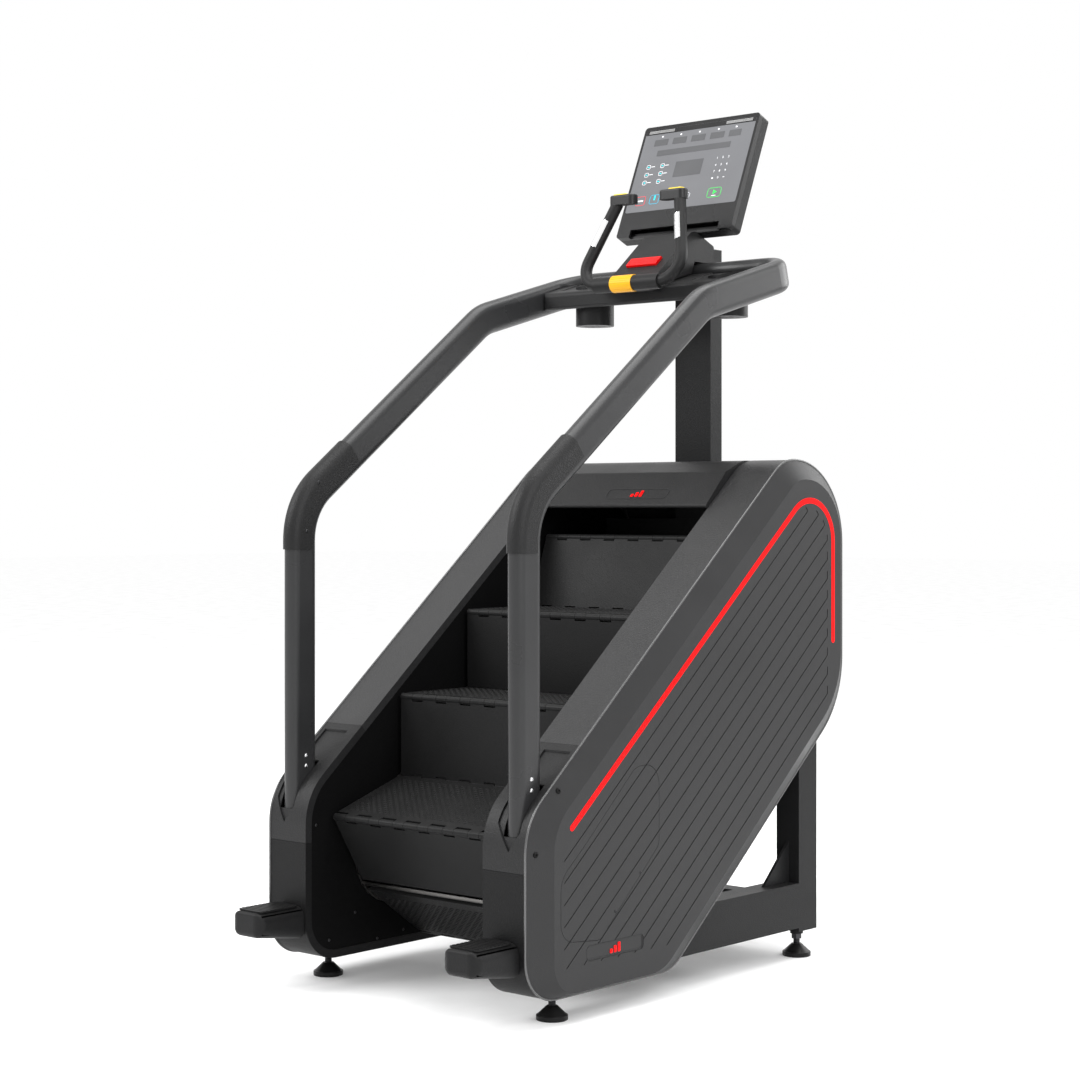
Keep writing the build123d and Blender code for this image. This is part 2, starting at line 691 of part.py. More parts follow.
def make_boot():
    """The plate just under a collar's notch, with the post's opening through it."""
    sheet = side_prism(rim_face(SHELL + 0.6) - rim_face(SHELL + 3.6), 300, EDGE_X - 2)
    zone = block(298, EDGE_X, FRONT_Y, COLLAR_TOP_Y - 6, COLLAR_Z + 8, 700)
    hole = block(
        POST_X - TUBE_W / 2 - 1, POST_X + TUBE_W / 2 + 1, POST_Y - TUBE_H / 2 - 1, POST_Y + TUBE_H / 2 + 1, 0, 700
    )
    return (sheet & zone) - hole


def make_inner_panel():
    panel = side_prism(rim_face(SHELL + 0.5), INNER_FACE_X, INNER_FACE_X + INNER_PANEL_THICK)
    for centre in (upper_shaft_centre(), LOWER_SHAFT):
        panel -= cross_rod(*centre, 33, 280, 310)
    for y, z in cross_tube_points():
        panel -= cross_rod(y, z, 27, 280, 310)
    panel -= block(280, 310, BEAM_Y0 - 2, BEAM_Y1 + 2, BEAM_Z0 - 2, BEAM_Z1 + 2)
    return panel


BEAM_Y0, BEAM_Y1 = 395.0, 465.0
BEAM_Z0, BEAM_Z1 = 1072.0, 1130.0


def cross_tube_points():
    """Cross tubes inside the belt, on the line between the two shafts."""
    points = []
    for part in (0.24, 0.5, 0.76):
        reach = part * SHAFT_SPACING
        points.append((LOWER_SHAFT[0] + reach * math.cos(INCLINE), LOWER_SHAFT[1] + reach * math.sin(INCLINE)))
    return points


def make_guides():
    """Bars that carry both straight runs of the right-hand chain, fixed to the inner panel."""
    drop = CHAIN_PLATE_HEIGHT / 2 + 0.8
    bars = []
    for side in (1, -1):
        bar = block(PLATE_HALF_WIDTH + 0.8, INNER_FACE_X, 75, SHAFT_SPACING - 75, 0, 12)
        lift = SPROCKET_R - drop - 12 if side > 0 else -SPROCKET_R + drop
        bar = Pos(0, 0, lift) * bar
        bars.append(Pos(0, *LOWER_SHAFT) * (Rot(math.degrees(INCLINE), 0, 0) * bar))
    return bars


INLET_BOX = (-246.0, -196.0, 480.0, 505.0, 840.0, 872.0)
HOOD_HALF_WIDTH = LIP_X - 0.6
HOOD_END_THICK = 2.5
HOOD_PATH = [(103, 1159), (73, 1159), (166, 1252), (236, TOP_Z - 0.5), (REAR_Y - 214, TOP_Z - 0.5)]
MAST_HALF_WIDTH = 60.0
MAST_Y0, MAST_Y1 = 407.0, 457.0
MAST_TOP_Z = 1858.0


def make_hood():
    """The cap over the top of the stairs: a sloping front, a curved crown and closed ends."""
    face = strip_face(HOOD_PATH, [6, 14, 90], -SHELL)
    low = (HOOD_PATH[-1][0], HOOD_PATH[0][1])
    end = side_face(HOOD_PATH[1:] + [low], [6, 14, 90, 0, 0])
    ends = both_sides(side_prism(end, HOOD_HALF_WIDTH - HOOD_END_THICK, HOOD_HALF_WIDTH))
    return side_prism(face, -HOOD_HALF_WIDTH, HOOD_HALF_WIDTH) + ends


def make_rear_cover():
    """The back of the stair housing, from the crown down under the return run."""
    points = rim_points()
    start = (HOOD_PATH[-1][0] + 1, TOP_Z - 0.5)
    path = [start, (REAR_Y, TOP_Z - 0.5), points[4], (-150, BELLY_Z0 + BELLY_SLOPE * (-150 - BELLY_Y0))]
    face = strip_face(path, [RIM_RADII[3], RIM_RADII[4]], -SHELL)
    return side_prism(face, -HOOD_HALF_WIDTH, HOOD_HALF_WIDTH)


def build_covers():
    panel, hatch = make_side_panel()
    save("side_panels", *both_sides(panel))
    save("access_hatches", *both_sides(hatch))
    face = PANEL_FACE_X
    stripe = ribbon(stripe_path(), [STRIPE_RADIUS], STRIPE_WIDTH, face - 1.5, face + 0.4)
    save("side_stripes", *both_sides(stripe))
    front, collar, stringer, rear = make_edge_covers()
    save("front_covers", *both_sides(front))
    save("post_collars", *both_sides(collar), *both_sides(make_boot()))
    save("stringer_covers", *both_sides(stringer))
    save("inner_panels", *both_sides(make_inner_panel()))
    opening = block(
        -MAST_HALF_WIDTH - 1, MAST_HALF_WIDTH + 1, MAST_Y0 - 1, MAST_Y1 + 1, BEAM_Z1, TOP_Z + 10
    )
    save("top_hood", make_hood() - opening)
    save("rear_cover", make_rear_cover() - opening - block(*INLET_BOX), *both_sides(rear))
    guides = []
    for bar in make_guides():
        guides += both_sides(bar)
    save("chain_guides", *guides)


# ---------------------------------------------------------------- frame


def hollow(x0, x1, y0, y1, z0, z1, wall, axis):
    """A square tube along one axis."""
    inner = {
        "x": (x0 - 1, x1 + 1, y0 + wall, y1 - wall, z0 + wall, z1 - wall),
        "y": (x0 + wall, x1 - wall, y0 - 1, y1 + 1, z0 + wall, z1 - wall),
        "z": (x0 + wall, x1 - wall, y0 + wall, y1 - wall, z0 - 1, z1 + 1),
    }[axis]
    return block(x0, x1, y0, y1, z0, z1) - block(*inner)


def make_side_frame():
    """The right-hand side frame: floor rail, rear upright, slanted bearing plate and its struts."""
    wall = 4.0
    rail = hollow(RAIL_X0, RAIL_X1, -640, UPRIGHT_Y0 + 1, RAIL_Z0, RAIL_Z1, wall, "y")
    rail += block(RAIL_X0, RAIL_X1, -640, -634, RAIL_Z0, RAIL_Z1)
    upright = hollow(RAIL_X0, RAIL_X1, UPRIGHT_Y0, UPRIGHT_Y1, 70, BEAM_Z1, wall, "z")
    upright += block(RAIL_X0, RAIL_X1, UPRIGHT_Y0, UPRIGHT_Y1, 70, 78)
    gusset = Face(
        Wire.make_polygon([(0, 327, RAIL_Z1 - 1), (0, 327, 300), (0, 215, RAIL_Z1 - 1)], close=True)
    )
    gusset = side_prism(gusset, 364, 372)
    plate = block(300, 308, -75, SHAFT_SPACING + 110, -62, 62)
    plate = Pos(0, *LOWER_SHAFT) * (Rot(math.degrees(INCLINE), 0, 0) * plate)
    pad_front = block(300, 345, -560, -420, 190, 225)
    post_foot = block(RAIL_X0, RAIL_X1, POST_Y - 42, -633, 140, 192)
    pad_rear = block(300, 345, 300, 340, 900, 950)
    frame = rail + [upright, gusset, plate, pad_front, post_foot, pad_rear]
    for centre in (upper_shaft_centre(), LOWER_SHAFT):
        frame -= cross_rod(*centre, SHAFT_R + 4, 290, 350)
    for foot_y, top in ((FRONT_FOOT_Y, RAIL_Z0 + 4), (REAR_FOOT_Y, 78)):
        boss = Pos(POST_X, foot_y, (BOSS_Z + top) / 2) * Cylinder(17, top - BOSS_Z)
        bore = Pos(POST_X, foot_y, BOSS_Z) * Cylinder(STEM_R + 0.05, 80)
        frame = frame + boss - bore
    return frame


def make_base_frame():
    side = make_side_frame()
    frame = side + mirror(side, about=Plane.YZ)
    for y, z in cross_tube_points():
        tube = cross_rod(y, z, 25, -301, 301) - cross_rod(y, z, 21.5, -302, 302)
        frame += tube
    frame += hollow(-RAIL_X0 - 1, RAIL_X0 + 1, 340, 394, 92, 152, 4, "x")
    frame += hollow(-RAIL_X0 - 1, RAIL_X0 + 1, 60, 110, 92, 142, 4, "x")
    frame += hollow(-RAIL_X1, RAIL_X1, BEAM_Y0, BEAM_Y1, BEAM_Z0, BEAM_Z1, 4, "x")
    return frame


def make_mast():
    mast = hollow(-MAST_HALF_WIDTH, MAST_HALF_WIDTH, MAST_Y0, MAST_Y1, BEAM_Z1, MAST_TOP_Z, 4, "z")
    mast += block(-MAST_HALF_WIDTH, MAST_HALF_WIDTH, MAST_Y0, MAST_Y1, MAST_TOP_Z - 5, MAST_TOP_Z)
    mast += block(-45, 45, BAR_Y + TUBE_W / 2 + 6.2, MAST_Y0 + 1, 1735, 1805)
    return mast


def make_foot(x, y):
    """A levelling foot: a round pad with a cone, and its threaded stem."""
    pad = Pos(x, y, 6) * Cylinder(36.6, 12)
    cone = Pos(x, y, 12 + 10) * Cone(34, 13, 20)
    stem = Pos(x, y, 72) * Cylinder(STEM_R, 84)
    return fillet(pad.edges().filter_by(GeomType.CIRCLE), 2) + [cone, stem]


def make_locknut(x, y):
    nut = Pos(x, y, BOSS_Z - 13.2) * extrude(RegularPolygon(14, 6), 13)
    return nut - Pos(x, y, BOSS_Z) * Cylinder(STEM_R + 0.05, 60)


def make_footrest():
    """The right-hand footrest: a rounded box with a rising underside."""
    x0, x1 = 296.0, 400.0
    points = [(FRONT_Y - 0.3, 118), (FRONT_Y - 0.3, 196), (FOOTREST_FRONT_Y, 196), (FOOTREST_FRONT_Y, 138)]
    body = side_prism(side_face(points, [0, 0, 8, 14]), x0, x1)
    upright = [e for e in body.edges() if abs(e.center().Y - FOOTREST_FRONT_Y) < 0.1 and e.length < 60]
    body = fillet(upright, 24) if len(upright) == 2 else body
    cavity = block(x0 + 5, x1 - 5, FOOTREST_FRONT_Y + 12, FRONT_Y + 5, 142, 190)
    return body - cavity


def make_footrest_pad():
    pad = block(306, 390, FOOTREST_FRONT_Y + 12, FRONT_Y - 8, 196, 200)
    upright = pad.edges().filter_by(Axis.Z)
    pad = fillet(upright, 12)
    for i in range(9):
        y = FOOTREST_FRONT_Y + 22 + i * 13
        pad -= block(300, 396, y, y + 4, 198.5, 201)
    return pad


def build_frame():
    save("base_frame", make_base_frame())
    save("mast", make_mast())
    names = {
        "foot_front_right": (POST_X, FRONT_FOOT_Y),
        "foot_front_left": (-POST_X, FRONT_FOOT_Y),
        "foot_rear_right": (POST_X, REAR_FOOT_Y),
        "foot_rear_left": (-POST_X, REAR_FOOT_Y),
    }
    for name, (x, y) in names.items():
        save(name, make_foot(x, y))
    save("foot_locknuts", *[make_locknut(x, y) for x, y in names.values()])
    save("footrests", *both_sides(make_footrest()))
    save("footrest_pads", *both_sides(make_footrest_pad()))


# ---------------------------------------------------------------- handrail

POST_FOOT_Z = 192.4
ELBOW = (POST_Y, 1164.0)
KNEE = (-38.0, 1662.0)
BAR_Y = 345.0
BAR_Z = 1769.0
ELBOW_R = 170.0
KNEE_R = 150.0
BAR_R = 85.0
SLEEVE_LOW_Z = 1058.0
SLEEVE_UP = 150.0
SLEEVE_WALL = 3.5


def oval(width, height):
    """A racetrack section, its long side along the local Y."""
    return SlotOverall(height, width, rotation=90)


def handrail_path():
    points = [
        (POST_X, POST_Y, POST_FOOT_Z),
        (POST_X, ELBOW[0], ELBOW[1]),
        (POST_X, KNEE[0], KNEE[1]),
        (POST_X, BAR_Y, BAR_Z),
        (0, BAR_Y, BAR_Z),
    ]
    return FilletPolyline(*points, radius=[ELBOW_R, KNEE_R, BAR_R])


def make_handrail():
    """One looped tube: up each post, along the slope and across behind the tray."""
    path = handrail_path()
    plane = Plane(origin=(POST_X, POST_Y, POST_FOOT_Z), x_dir=(1, 0, 0), z_dir=(0, 0, 1))
    outer = sweep(plane * oval(TUBE_W, TUBE_H), path=path)
    inner = sweep(plane * oval(TUBE_W - 2 * TUBE_WALL, TUBE_H - 2 * TUBE_WALL), path=path)
    half = outer - inner
    return half + mirror(half, about=Plane.YZ)


def make_sleeve():
    """The right-hand elbow cover: it wraps the front of the bend and leaves the inner edge bare."""
    slope = math.atan2(KNEE[1] - ELBOW[1], KNEE[0] - ELBOW[0])
    end = (ELBOW[0] + (SLEEVE_UP + 60) * math.cos(slope), ELBOW[1] + (SLEEVE_UP + 60) * math.sin(slope))
    path = FilletPolyline((POST_X, POST_Y, SLEEVE_LOW_Z), (POST_X, *ELBOW), (POST_X, *end), radius=ELBOW_R - 1)
    plane = Plane(origin=(POST_X, POST_Y, SLEEVE_LOW_Z), x_dir=(1, 0, 0), z_dir=(0, 0, 1))
    skin = 0.3
    outer = oval(TUBE_W + 2 * SLEEVE_WALL + 2 * skin, TUBE_H + 2 * SLEEVE_WALL + 2 * skin)
    bore = oval(TUBE_W + 2 * skin, TUBE_H + 2 * skin)
    ring = (outer - bore) - Pos(0, TUBE_H / 2) * Rectangle(TUBE_W + 20, 50)
    return sweep(plane * ring, path=path)


def build_handrail():
    save("handrail", make_handrail())
    save("elbow_sleeves", *both_sides(make_sleeve()))


# ---------------------------------------------------------------- tray, neck and handlebar

TRAY_FRONT = (183.0, 1697.0)
TRAY_REAR_Y = 316.3
TRAY_CORNER_R = 68.0
TRAY_HALF_WIDTH = POST_X - TUBE_W / 2 - 0.4
CUP_X, CUP_Y, CUP_R = 225.0, 262.0, 50.0
CUP_BOTTOM_Z = 1655.0
NECK_HALF_WIDTH = 78.0
BAR_HALF = 178.0
GRIP_TOP = (105.0, 214.0, 1974.0)
HANDLE_Y, HANDLE_Z = 125.0, 1748.0
GRIP_R = 16.0
SLEEVE_R = 21.0


def tray_top(y):
    return TRAY_FRONT[1] + 48 + (y - TRAY_FRONT[0]) * 0.284


def make_tray():
    y0, z0 = TRAY_FRONT
    y1 = TRAY_REAR_Y
    face = side_face([(y0, z0), (y0, tray_top(y0)), (y1, tray_top(y1)), (y1, tray_top(y1) - 44)], [8, 14, 6, 6])
    tray = side_prism(face, -TRAY_HALF_WIDTH, TRAY_HALF_WIDTH)
    w = TRAY_HALF_WIDTH
    outline = [(-w, y0, z0 - 10), (w, y0, z0 - 10), (w, y1, z0 - 10), (-w, y1, z0 - 10)]
    plan = make_face(FilletPolyline(*outline, radius=[10, 10, TRAY_CORNER_R, TRAY_CORNER_R], close=True))
    tray &= extrude(plan, amount=150, dir=(0, 0, 1))
    for x in (-CUP_X, CUP_X):
        tray -= Pos(x, CUP_Y, 1750) * Cylinder(CUP_R + 2.5, 200)
        dish_cut = Pos(x, CUP_Y, tray_top(CUP_Y) + 4) * (Rot(15.9, 0, 0) * Box(170, 96, 14))
        tray -= fillet(dish_cut.edges().filter_by(Axis.X, reverse=True), 3)
    return tray


def make_cup(x):
    """A cup holder: a straight wall, a floor and three drain slots."""
    top = tray_top(CUP_Y) - 6
    cup = Pos(x, CUP_Y, (top + CUP_BOTTOM_Z) / 2) * Cylinder(CUP_R + 2, top - CUP_BOTTOM_Z)
    cup -= Pos(x, CUP_Y, (top + CUP_BOTTOM_Z) / 2 + 3) * Cylinder(CUP_R - 1, top - CUP_BOTTOM_Z)
    for i in range(3):
        cup -= Pos(x - 20 + 20 * i, CUP_Y, CUP_BOTTOM_Z) * Box(5, 44, 12)
    return cup


def make_neck():
    """The wedge that carries the console: a sloping front between two side cheeks."""
    points = [(150, 1768), (297, 1891.5), (318, 1895), (398, 1861.5), (398, 1815), (312, 1815), (300, 1782)]
    points += [(197, 1753), (186, 1764)]
    outline = side_face(points, [3, 12, 6, 8, 6, 3, 3, 3, 2])
    cavity = side_prism(offset(outline, -5), -NECK_HALF_WIDTH + 5, NECK_HALF_WIDTH - 5)
    return side_prism(outline, -NECK_HALF_WIDTH, NECK_HALF_WIDTH) - cavity


def neck_plane(y):
    """A frame on the neck's sloping front: local Y up the slope, local Z out of it."""
    run = math.atan2(1894 - 1768, 300 - 150)
    z = 1768 + (y - 150) * math.tan(run)
    return Plane(origin=(0, y, z), x_dir=(1, 0, 0), z_dir=(0, -math.sin(run), math.cos(run)))


STOP_Y = 197.0


def build_neck():
    face = neck_plane(STOP_Y)
    neck = make_neck()
    neck -= face * Pos(0, 0, -2) * Box(101.2, 34.2, 14)
    save("console_neck", neck)
    bar = face * Pos(0, 0, 2.5) * Box(100, 33, 9)
    save("stop_bar", fillet(bar.edges().group_by(SortBy.LENGTH)[-1], 2.5))


def make_handlebar():
    """The centre tube, its two bends and the two raised grips, as one moulded-over tube."""
    points = [(-BAR_HALF, HANDLE_Y + 3, HANDLE_Z), (BAR_HALF, HANDLE_Y + 3, HANDLE_Z)]
    left = (-GRIP_TOP[0], GRIP_TOP[1], GRIP_TOP[2])
    path = FilletPolyline(left, *points, GRIP_TOP, radius=[58, 58])
    start = Plane(origin=left, z_dir=path % 0)
    bar = sweep(start * Circle(GRIP_R), path=path)
    sleeve = cross_rod(HANDLE_Y + 3, HANDLE_Z, SLEEVE_R, -108, 108)
    bar += sleeve
    bracket = block(-60, 60, HANDLE_Y + 10, TRAY_FRONT[0] - 0.3, 1728, 1762)
    above = block(-400, 400, 0, 400, GRIP_TOP[2] - 4, GRIP_TOP[2] + 60)
    return (bar + bracket) - above


def make_grip_head(side):
    """A pod on top of a grip, reaching inwards, with a pocket for its thumb switch."""
    x, y, z = GRIP_TOP
    pod = block(x - 62, x + 20, y - 17, y + 17, z - 4, z + 22)
    pod = fillet(pod.edges().filter_by(Axis.Z), 14)
    pod = fillet(pod.edges().group_by(Axis.Z)[-1], 5)
    pod -= block(x - 34.6, x + 10.6, y - 10.6, y + 10.6, z + 12, z + 30)
    return pod if side > 0 else mirror(pod, about=Plane.YZ)


def make_switch(side):
    x, y, z = GRIP_TOP
    pad = block(x - 34, x + 10, y - 10, y + 10, z + 15.5, z + 25.5)
    pad = fillet(pad.edges().filter_by(Axis.Z), 6)
    pad = fillet(pad.edges().group_by(Axis.Z)[-1], 2.5)
    return pad if side > 0 else mirror(pad, about=Plane.YZ)


def grip_axis():
    """Foot and head of the straight right-hand grip, and its unit direction."""
    foot = Vector(BAR_HALF, HANDLE_Y + 3, HANDLE_Z)
    head = Vector(*GRIP_TOP)
    return foot, head, (head - foot).normalized()


def make_sensor():
    """A curved metal contact plate on the inner front of the right-hand grip."""
    foot, head, way = grip_axis()
    plane = Plane(origin=foot + way * 118, z_dir=way, x_dir=(0, -1, 0))
    ring = Circle(GRIP_R + 1.6) - Circle(GRIP_R)
    wedge = make_face(Polyline((0, 0), (40, -26), (40, 26), close=True))
    return extrude(plane * (ring & wedge), amount=78)


def make_band():
    """The ribbed band at the middle of the centre tube."""
    y, z = HANDLE_Y + 3, HANDLE_Z
    band = cross_rod(y, z, SLEEVE_R + 1.6, -47, 23) - cross_rod(y, z, SLEEVE_R, -48, 24)
    for i in range(24):
        angle = 2 * math.pi * i / 24
        rib_y = y + (SLEEVE_R + 1.7) * math.cos(angle)
        rib_z = z + (SLEEVE_R + 1.7) * math.sin(angle)
        band -= cross_rod(rib_y, rib_z, 0.8, -44, 20)
    return band - block(-61, 61, HANDLE_Y + 9, TRAY_FRONT[0], 1727, 1763)


def build_controls():
    save("console_tray", make_tray())
    save("cup_holders", make_cup(CUP_X), make_cup(-CUP_X))
    build_neck()
    save("handlebar", make_handlebar())
    save("handlebar_band", make_band())
    save("grip_heads", make_grip_head(1), make_grip_head(-1))
    save("grip_sensors", *both_sides(make_sensor()))
    save("speed_switch_right", make_switch(1))
    save("speed_switch_left", make_switch(-1))


# ---------------------------------------------------------------- console

BEZEL_DEPTH = 16.0


def console_plane():
    """Middle of the console's front face: local Y up the face, local Z towards the user."""
    return Plane(
        origin=CONSOLE_CENTRE,
        x_dir=(1, 0, 0),
        z_dir=(0, -math.cos(CONSOLE_TILT), math.sin(CONSOLE_TILT)),
    )


OVERLAY_LOW = -96.0
OVERLAY_HIGH = 163.0
OVERLAY_HALF = 187.0


def make_console():
    w, h = CONSOLE_WIDTH, CONSOLE_HEIGHT
    plate = extrude(RectangleRounded(w, h, 10), BEZEL_DEPTH)
    bezel = Pos(0, 0, -BEZEL_DEPTH) * plate
    middle = (OVERLAY_LOW + OVERLAY_HIGH) / 2
    height = OVERLAY_HIGH - OVERLAY_LOW
    pocket = Pos(0, middle, -2.0) * extrude(RectangleRounded(2 * OVERLAY_HALF + 0.6, height + 0.6, 6), 5)
    bezel -= pocket
    bezel -= Pos(0, -h / 2 + 8, 2) * Box(w - 90, 30, 24)
    bezel -= Pos(0, 0, -BEZEL_DEPTH) * extrude(RectangleRounded(w - 14, h - 14, 6), BEZEL_DEPTH - 7)
    overlay = Pos(0, middle, -2.0) * extrude(RectangleRounded(2 * OVERLAY_HALF, height, 6), 2)
    slope_depth = 14
    rear = Pos(0, 0, slope_depth - CONSOLE_DEPTH) * extrude(
        RectangleRounded(w, h, 10), CONSOLE_DEPTH - BEZEL_DEPTH - 0.5 - slope_depth
    )
    low, high = Plane.XY.offset(-CONSOLE_DEPTH), Plane.XY.offset(slope_depth - CONSOLE_DEPTH)
    rear += loft([low * RectangleRounded(w - 28, h - 28, 4), high * RectangleRounded(w, h, 10)], ruled=True)
    inner_depth = CONSOLE_DEPTH - BEZEL_DEPTH - 0.5 - 5
    rear -= Pos(0, 0, -BEZEL_DEPTH - 0.5 - inner_depth) * extrude(RectangleRounded(w - 36, h - 36, 6), inner_depth + 1)
    return bezel, overlay, rear


def build_console():
    bezel, overlay, rear = make_console()
    plane = console_plane()
    save("console_bezel", plane * bezel)
    save("console_overlay", plane * overlay)
    save("console_housing", plane * rear)


def screw(origin, direction, radius=3.6, depth=2.0):
    """The head of a button-head screw, standing on the surface."""
    plane = Plane(origin=origin, z_dir=direction)
    return plane * (Pos(0, 0, depth / 2) * Cylinder(radius, depth))


def build_small_parts():
    screws = []
    inner_screws = [(-711, 390), (-668, 105), (-580, 161), (-504, 86), (-412, 95), (-296, 87)]
    for y, z in inner_screws:
        screws += both_sides(screw((INNER_FACE_X, y, z), (-1, 0, 0)))
    for y, z in ((-368, 312), (-460, 234)):
        screws += both_sides(screw((PANEL_FACE_X, y, z), (1, 0, 0), depth=1.0))
    for z in (529.0, 554.0):
        screws += both_sides(screw((POST_X + TUBE_W / 2, POST_Y, z), (1, 0, 0), radius=5))
        screws += both_sides(screw((POST_X - TUBE_W / 2, POST_Y, z), (-1, 0, 0), radius=5))
    save("cover_screws", *screws)
    x0, x1, y0, y1, z0, z1 = INLET_BOX
    inlet = block(x0 + 0.3, x1 - 0.3, REAR_Y - 24, REAR_Y - 0.5, z0 + 0.3, z1 - 0.3)
    inlet -= block(x0 + 10, x1 - 10, REAR_Y - 18, REAR_Y + 1, z0 + 7, z1 - 7)
    for x in (-8, 0, 8):
        middle = (x0 + x1) / 2 + x
        inlet += block(middle - 1, middle + 1, REAR_Y - 19, REAR_Y - 6, z0 + 12, z0 + 18)
    save("power_inlet", inlet)


build_staircase()
build_drive()
build_covers()
build_frame()
build_handrail()
build_controls()
build_console()
build_small_parts()
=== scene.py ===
import json
import math

import bmesh
import bpy
import numpy as np
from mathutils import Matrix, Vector
from mathutils.bvhtree import BVHTree


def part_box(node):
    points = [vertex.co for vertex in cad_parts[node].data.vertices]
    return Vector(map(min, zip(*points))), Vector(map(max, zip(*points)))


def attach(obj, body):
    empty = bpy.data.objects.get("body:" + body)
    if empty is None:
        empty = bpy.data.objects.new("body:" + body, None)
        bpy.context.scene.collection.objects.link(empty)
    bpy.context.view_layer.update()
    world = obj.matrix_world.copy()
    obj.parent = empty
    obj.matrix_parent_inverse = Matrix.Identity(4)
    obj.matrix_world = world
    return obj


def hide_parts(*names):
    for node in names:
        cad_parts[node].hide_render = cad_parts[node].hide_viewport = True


bl_info = {
    "name": "Stair climber finishes",
    "version": (1, 0, 0),
    "blender": (4, 5, 0),
    "location": "3D View > Sidebar > Stair climber",
    "description": "Finishes, step grip, fasteners, console face and stage of the stair climber",
    "category": "Object",
}

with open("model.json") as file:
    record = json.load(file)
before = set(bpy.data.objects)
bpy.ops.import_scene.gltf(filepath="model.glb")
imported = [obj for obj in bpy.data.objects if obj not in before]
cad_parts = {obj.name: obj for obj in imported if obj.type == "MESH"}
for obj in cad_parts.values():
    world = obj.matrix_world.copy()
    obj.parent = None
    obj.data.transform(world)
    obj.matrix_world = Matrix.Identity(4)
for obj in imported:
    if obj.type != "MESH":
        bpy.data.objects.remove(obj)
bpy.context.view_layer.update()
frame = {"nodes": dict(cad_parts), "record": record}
MM = 0.001


# ---------------------------------------------------------------- places read from the frame


def node_points(node):
    """Every vertex of a frame node as an array."""
    return np.array([v.co for v in frame["nodes"][node].data.vertices], float)


def plate_frame(node, outwards):
    """Middle of a flat plate's outer face and its turn about X, from the plate's own vertices."""
    points = node_points(node)
    flat = points[:, 1:] - points[:, 1:].mean(0)
    values, vectors = np.linalg.eigh(flat.T @ flat)
    along = vectors[:, int(np.argmax(values))]
    normal = np.array([-along[1], along[0]])
    if normal @ np.array(outwards) < 0:
        along = -along
        normal = -normal
    reach = points[:, 1:] @ along
    height = points[:, 1:] @ normal
    middle = along * (reach.max() + reach.min()) / 2 + normal * height.max()
    across = (points[:, 0].max() + points[:, 0].min()) / 2
    return Vector((across, middle[0], middle[1])), math.atan2(along[1], along[0]), reach.max() - reach.min()


def node_tree(node):
    """A search tree of a frame node's surface."""
    mesh = frame["nodes"][node].data
    corners = [v.co[:] for v in mesh.vertices]
    return BVHTree.FromPolygons(corners, [p.vertices[:] for p in mesh.polygons])


def surface_point(tree, start, direction):
    """Where a ray meets a surface, with the outward normal there."""
    place, normal, _, _ = tree.ray_cast(Vector(start), Vector(direction))
    if place is None:
        raise RuntimeError(f"no surface in front of {tuple(start)}")
    if normal.dot(Vector(direction)) > 0:
        normal = -normal
    return place, normal


# ---------------------------------------------------------------- shader groups


def add_sockets(tree, inputs, outputs):
    for name, kind, value in inputs:
        socket = tree.interface.new_socket(name=name, in_out="INPUT", socket_type=kind)
        if value is not None:
            socket.default_value = value
    for name, kind in outputs:
        tree.interface.new_socket(name=name, in_out="OUTPUT", socket_type=kind)


def moulded_grain_group():
    """Pebbled skin of moulded plastic or powder coat: a height, and a slow variation of tone."""
    tree = bpy.data.node_groups.new("moulded_grain", "ShaderNodeTree")
    add_sockets(
        tree,
        [("Grain Scale", "NodeSocketFloat", 600.0), ("Tone Scale", "NodeSocketFloat", 6.0)],
        [("Height", "NodeSocketFloat"), ("Tone", "NodeSocketFloat"), ("Speck", "NodeSocketFloat")],
    )
    nodes, links = tree.nodes, tree.links
    given = nodes.new("NodeGroupInput")
    out = nodes.new("NodeGroupOutput")
    place = nodes.new("ShaderNodeTexCoord")
    fine = nodes.new("ShaderNodeTexNoise")
    fine.inputs["Detail"].default_value = 3.0
    pebbles = nodes.new("ShaderNodeTexVoronoi")
    pebbles.feature = "SMOOTH_F1"
    pebbles.inputs["Smoothness"].default_value = 0.6
    slow = nodes.new("ShaderNodeTexNoise")
    slow.inputs["Detail"].default_value = 4.0
    half = nodes.new("ShaderNodeMath")
    half.operation = "MULTIPLY"
    half.inputs[1].default_value = 0.7
    both = nodes.new("ShaderNodeMath")
    both.operation = "ADD"
    for texture in (fine, pebbles, slow):
        links.new(place.outputs["Object"], texture.inputs["Vector"])
    links.new(given.outputs["Grain Scale"], fine.inputs["Scale"])
    links.new(given.outputs["Grain Scale"], half.inputs[0])
    links.new(half.outputs[0], pebbles.inputs["Scale"])
    links.new(given.outputs["Tone Scale"], slow.inputs["Scale"])
    links.new(fine.outputs["Fac"], both.inputs[0])
    links.new(pebbles.outputs["Distance"], both.inputs[1])
    links.new(both.outputs[0], out.inputs["Height"])
    links.new(slow.outputs["Fac"], out.inputs["Tone"])
    links.new(fine.outputs["Fac"], out.inputs["Speck"])
    return tree


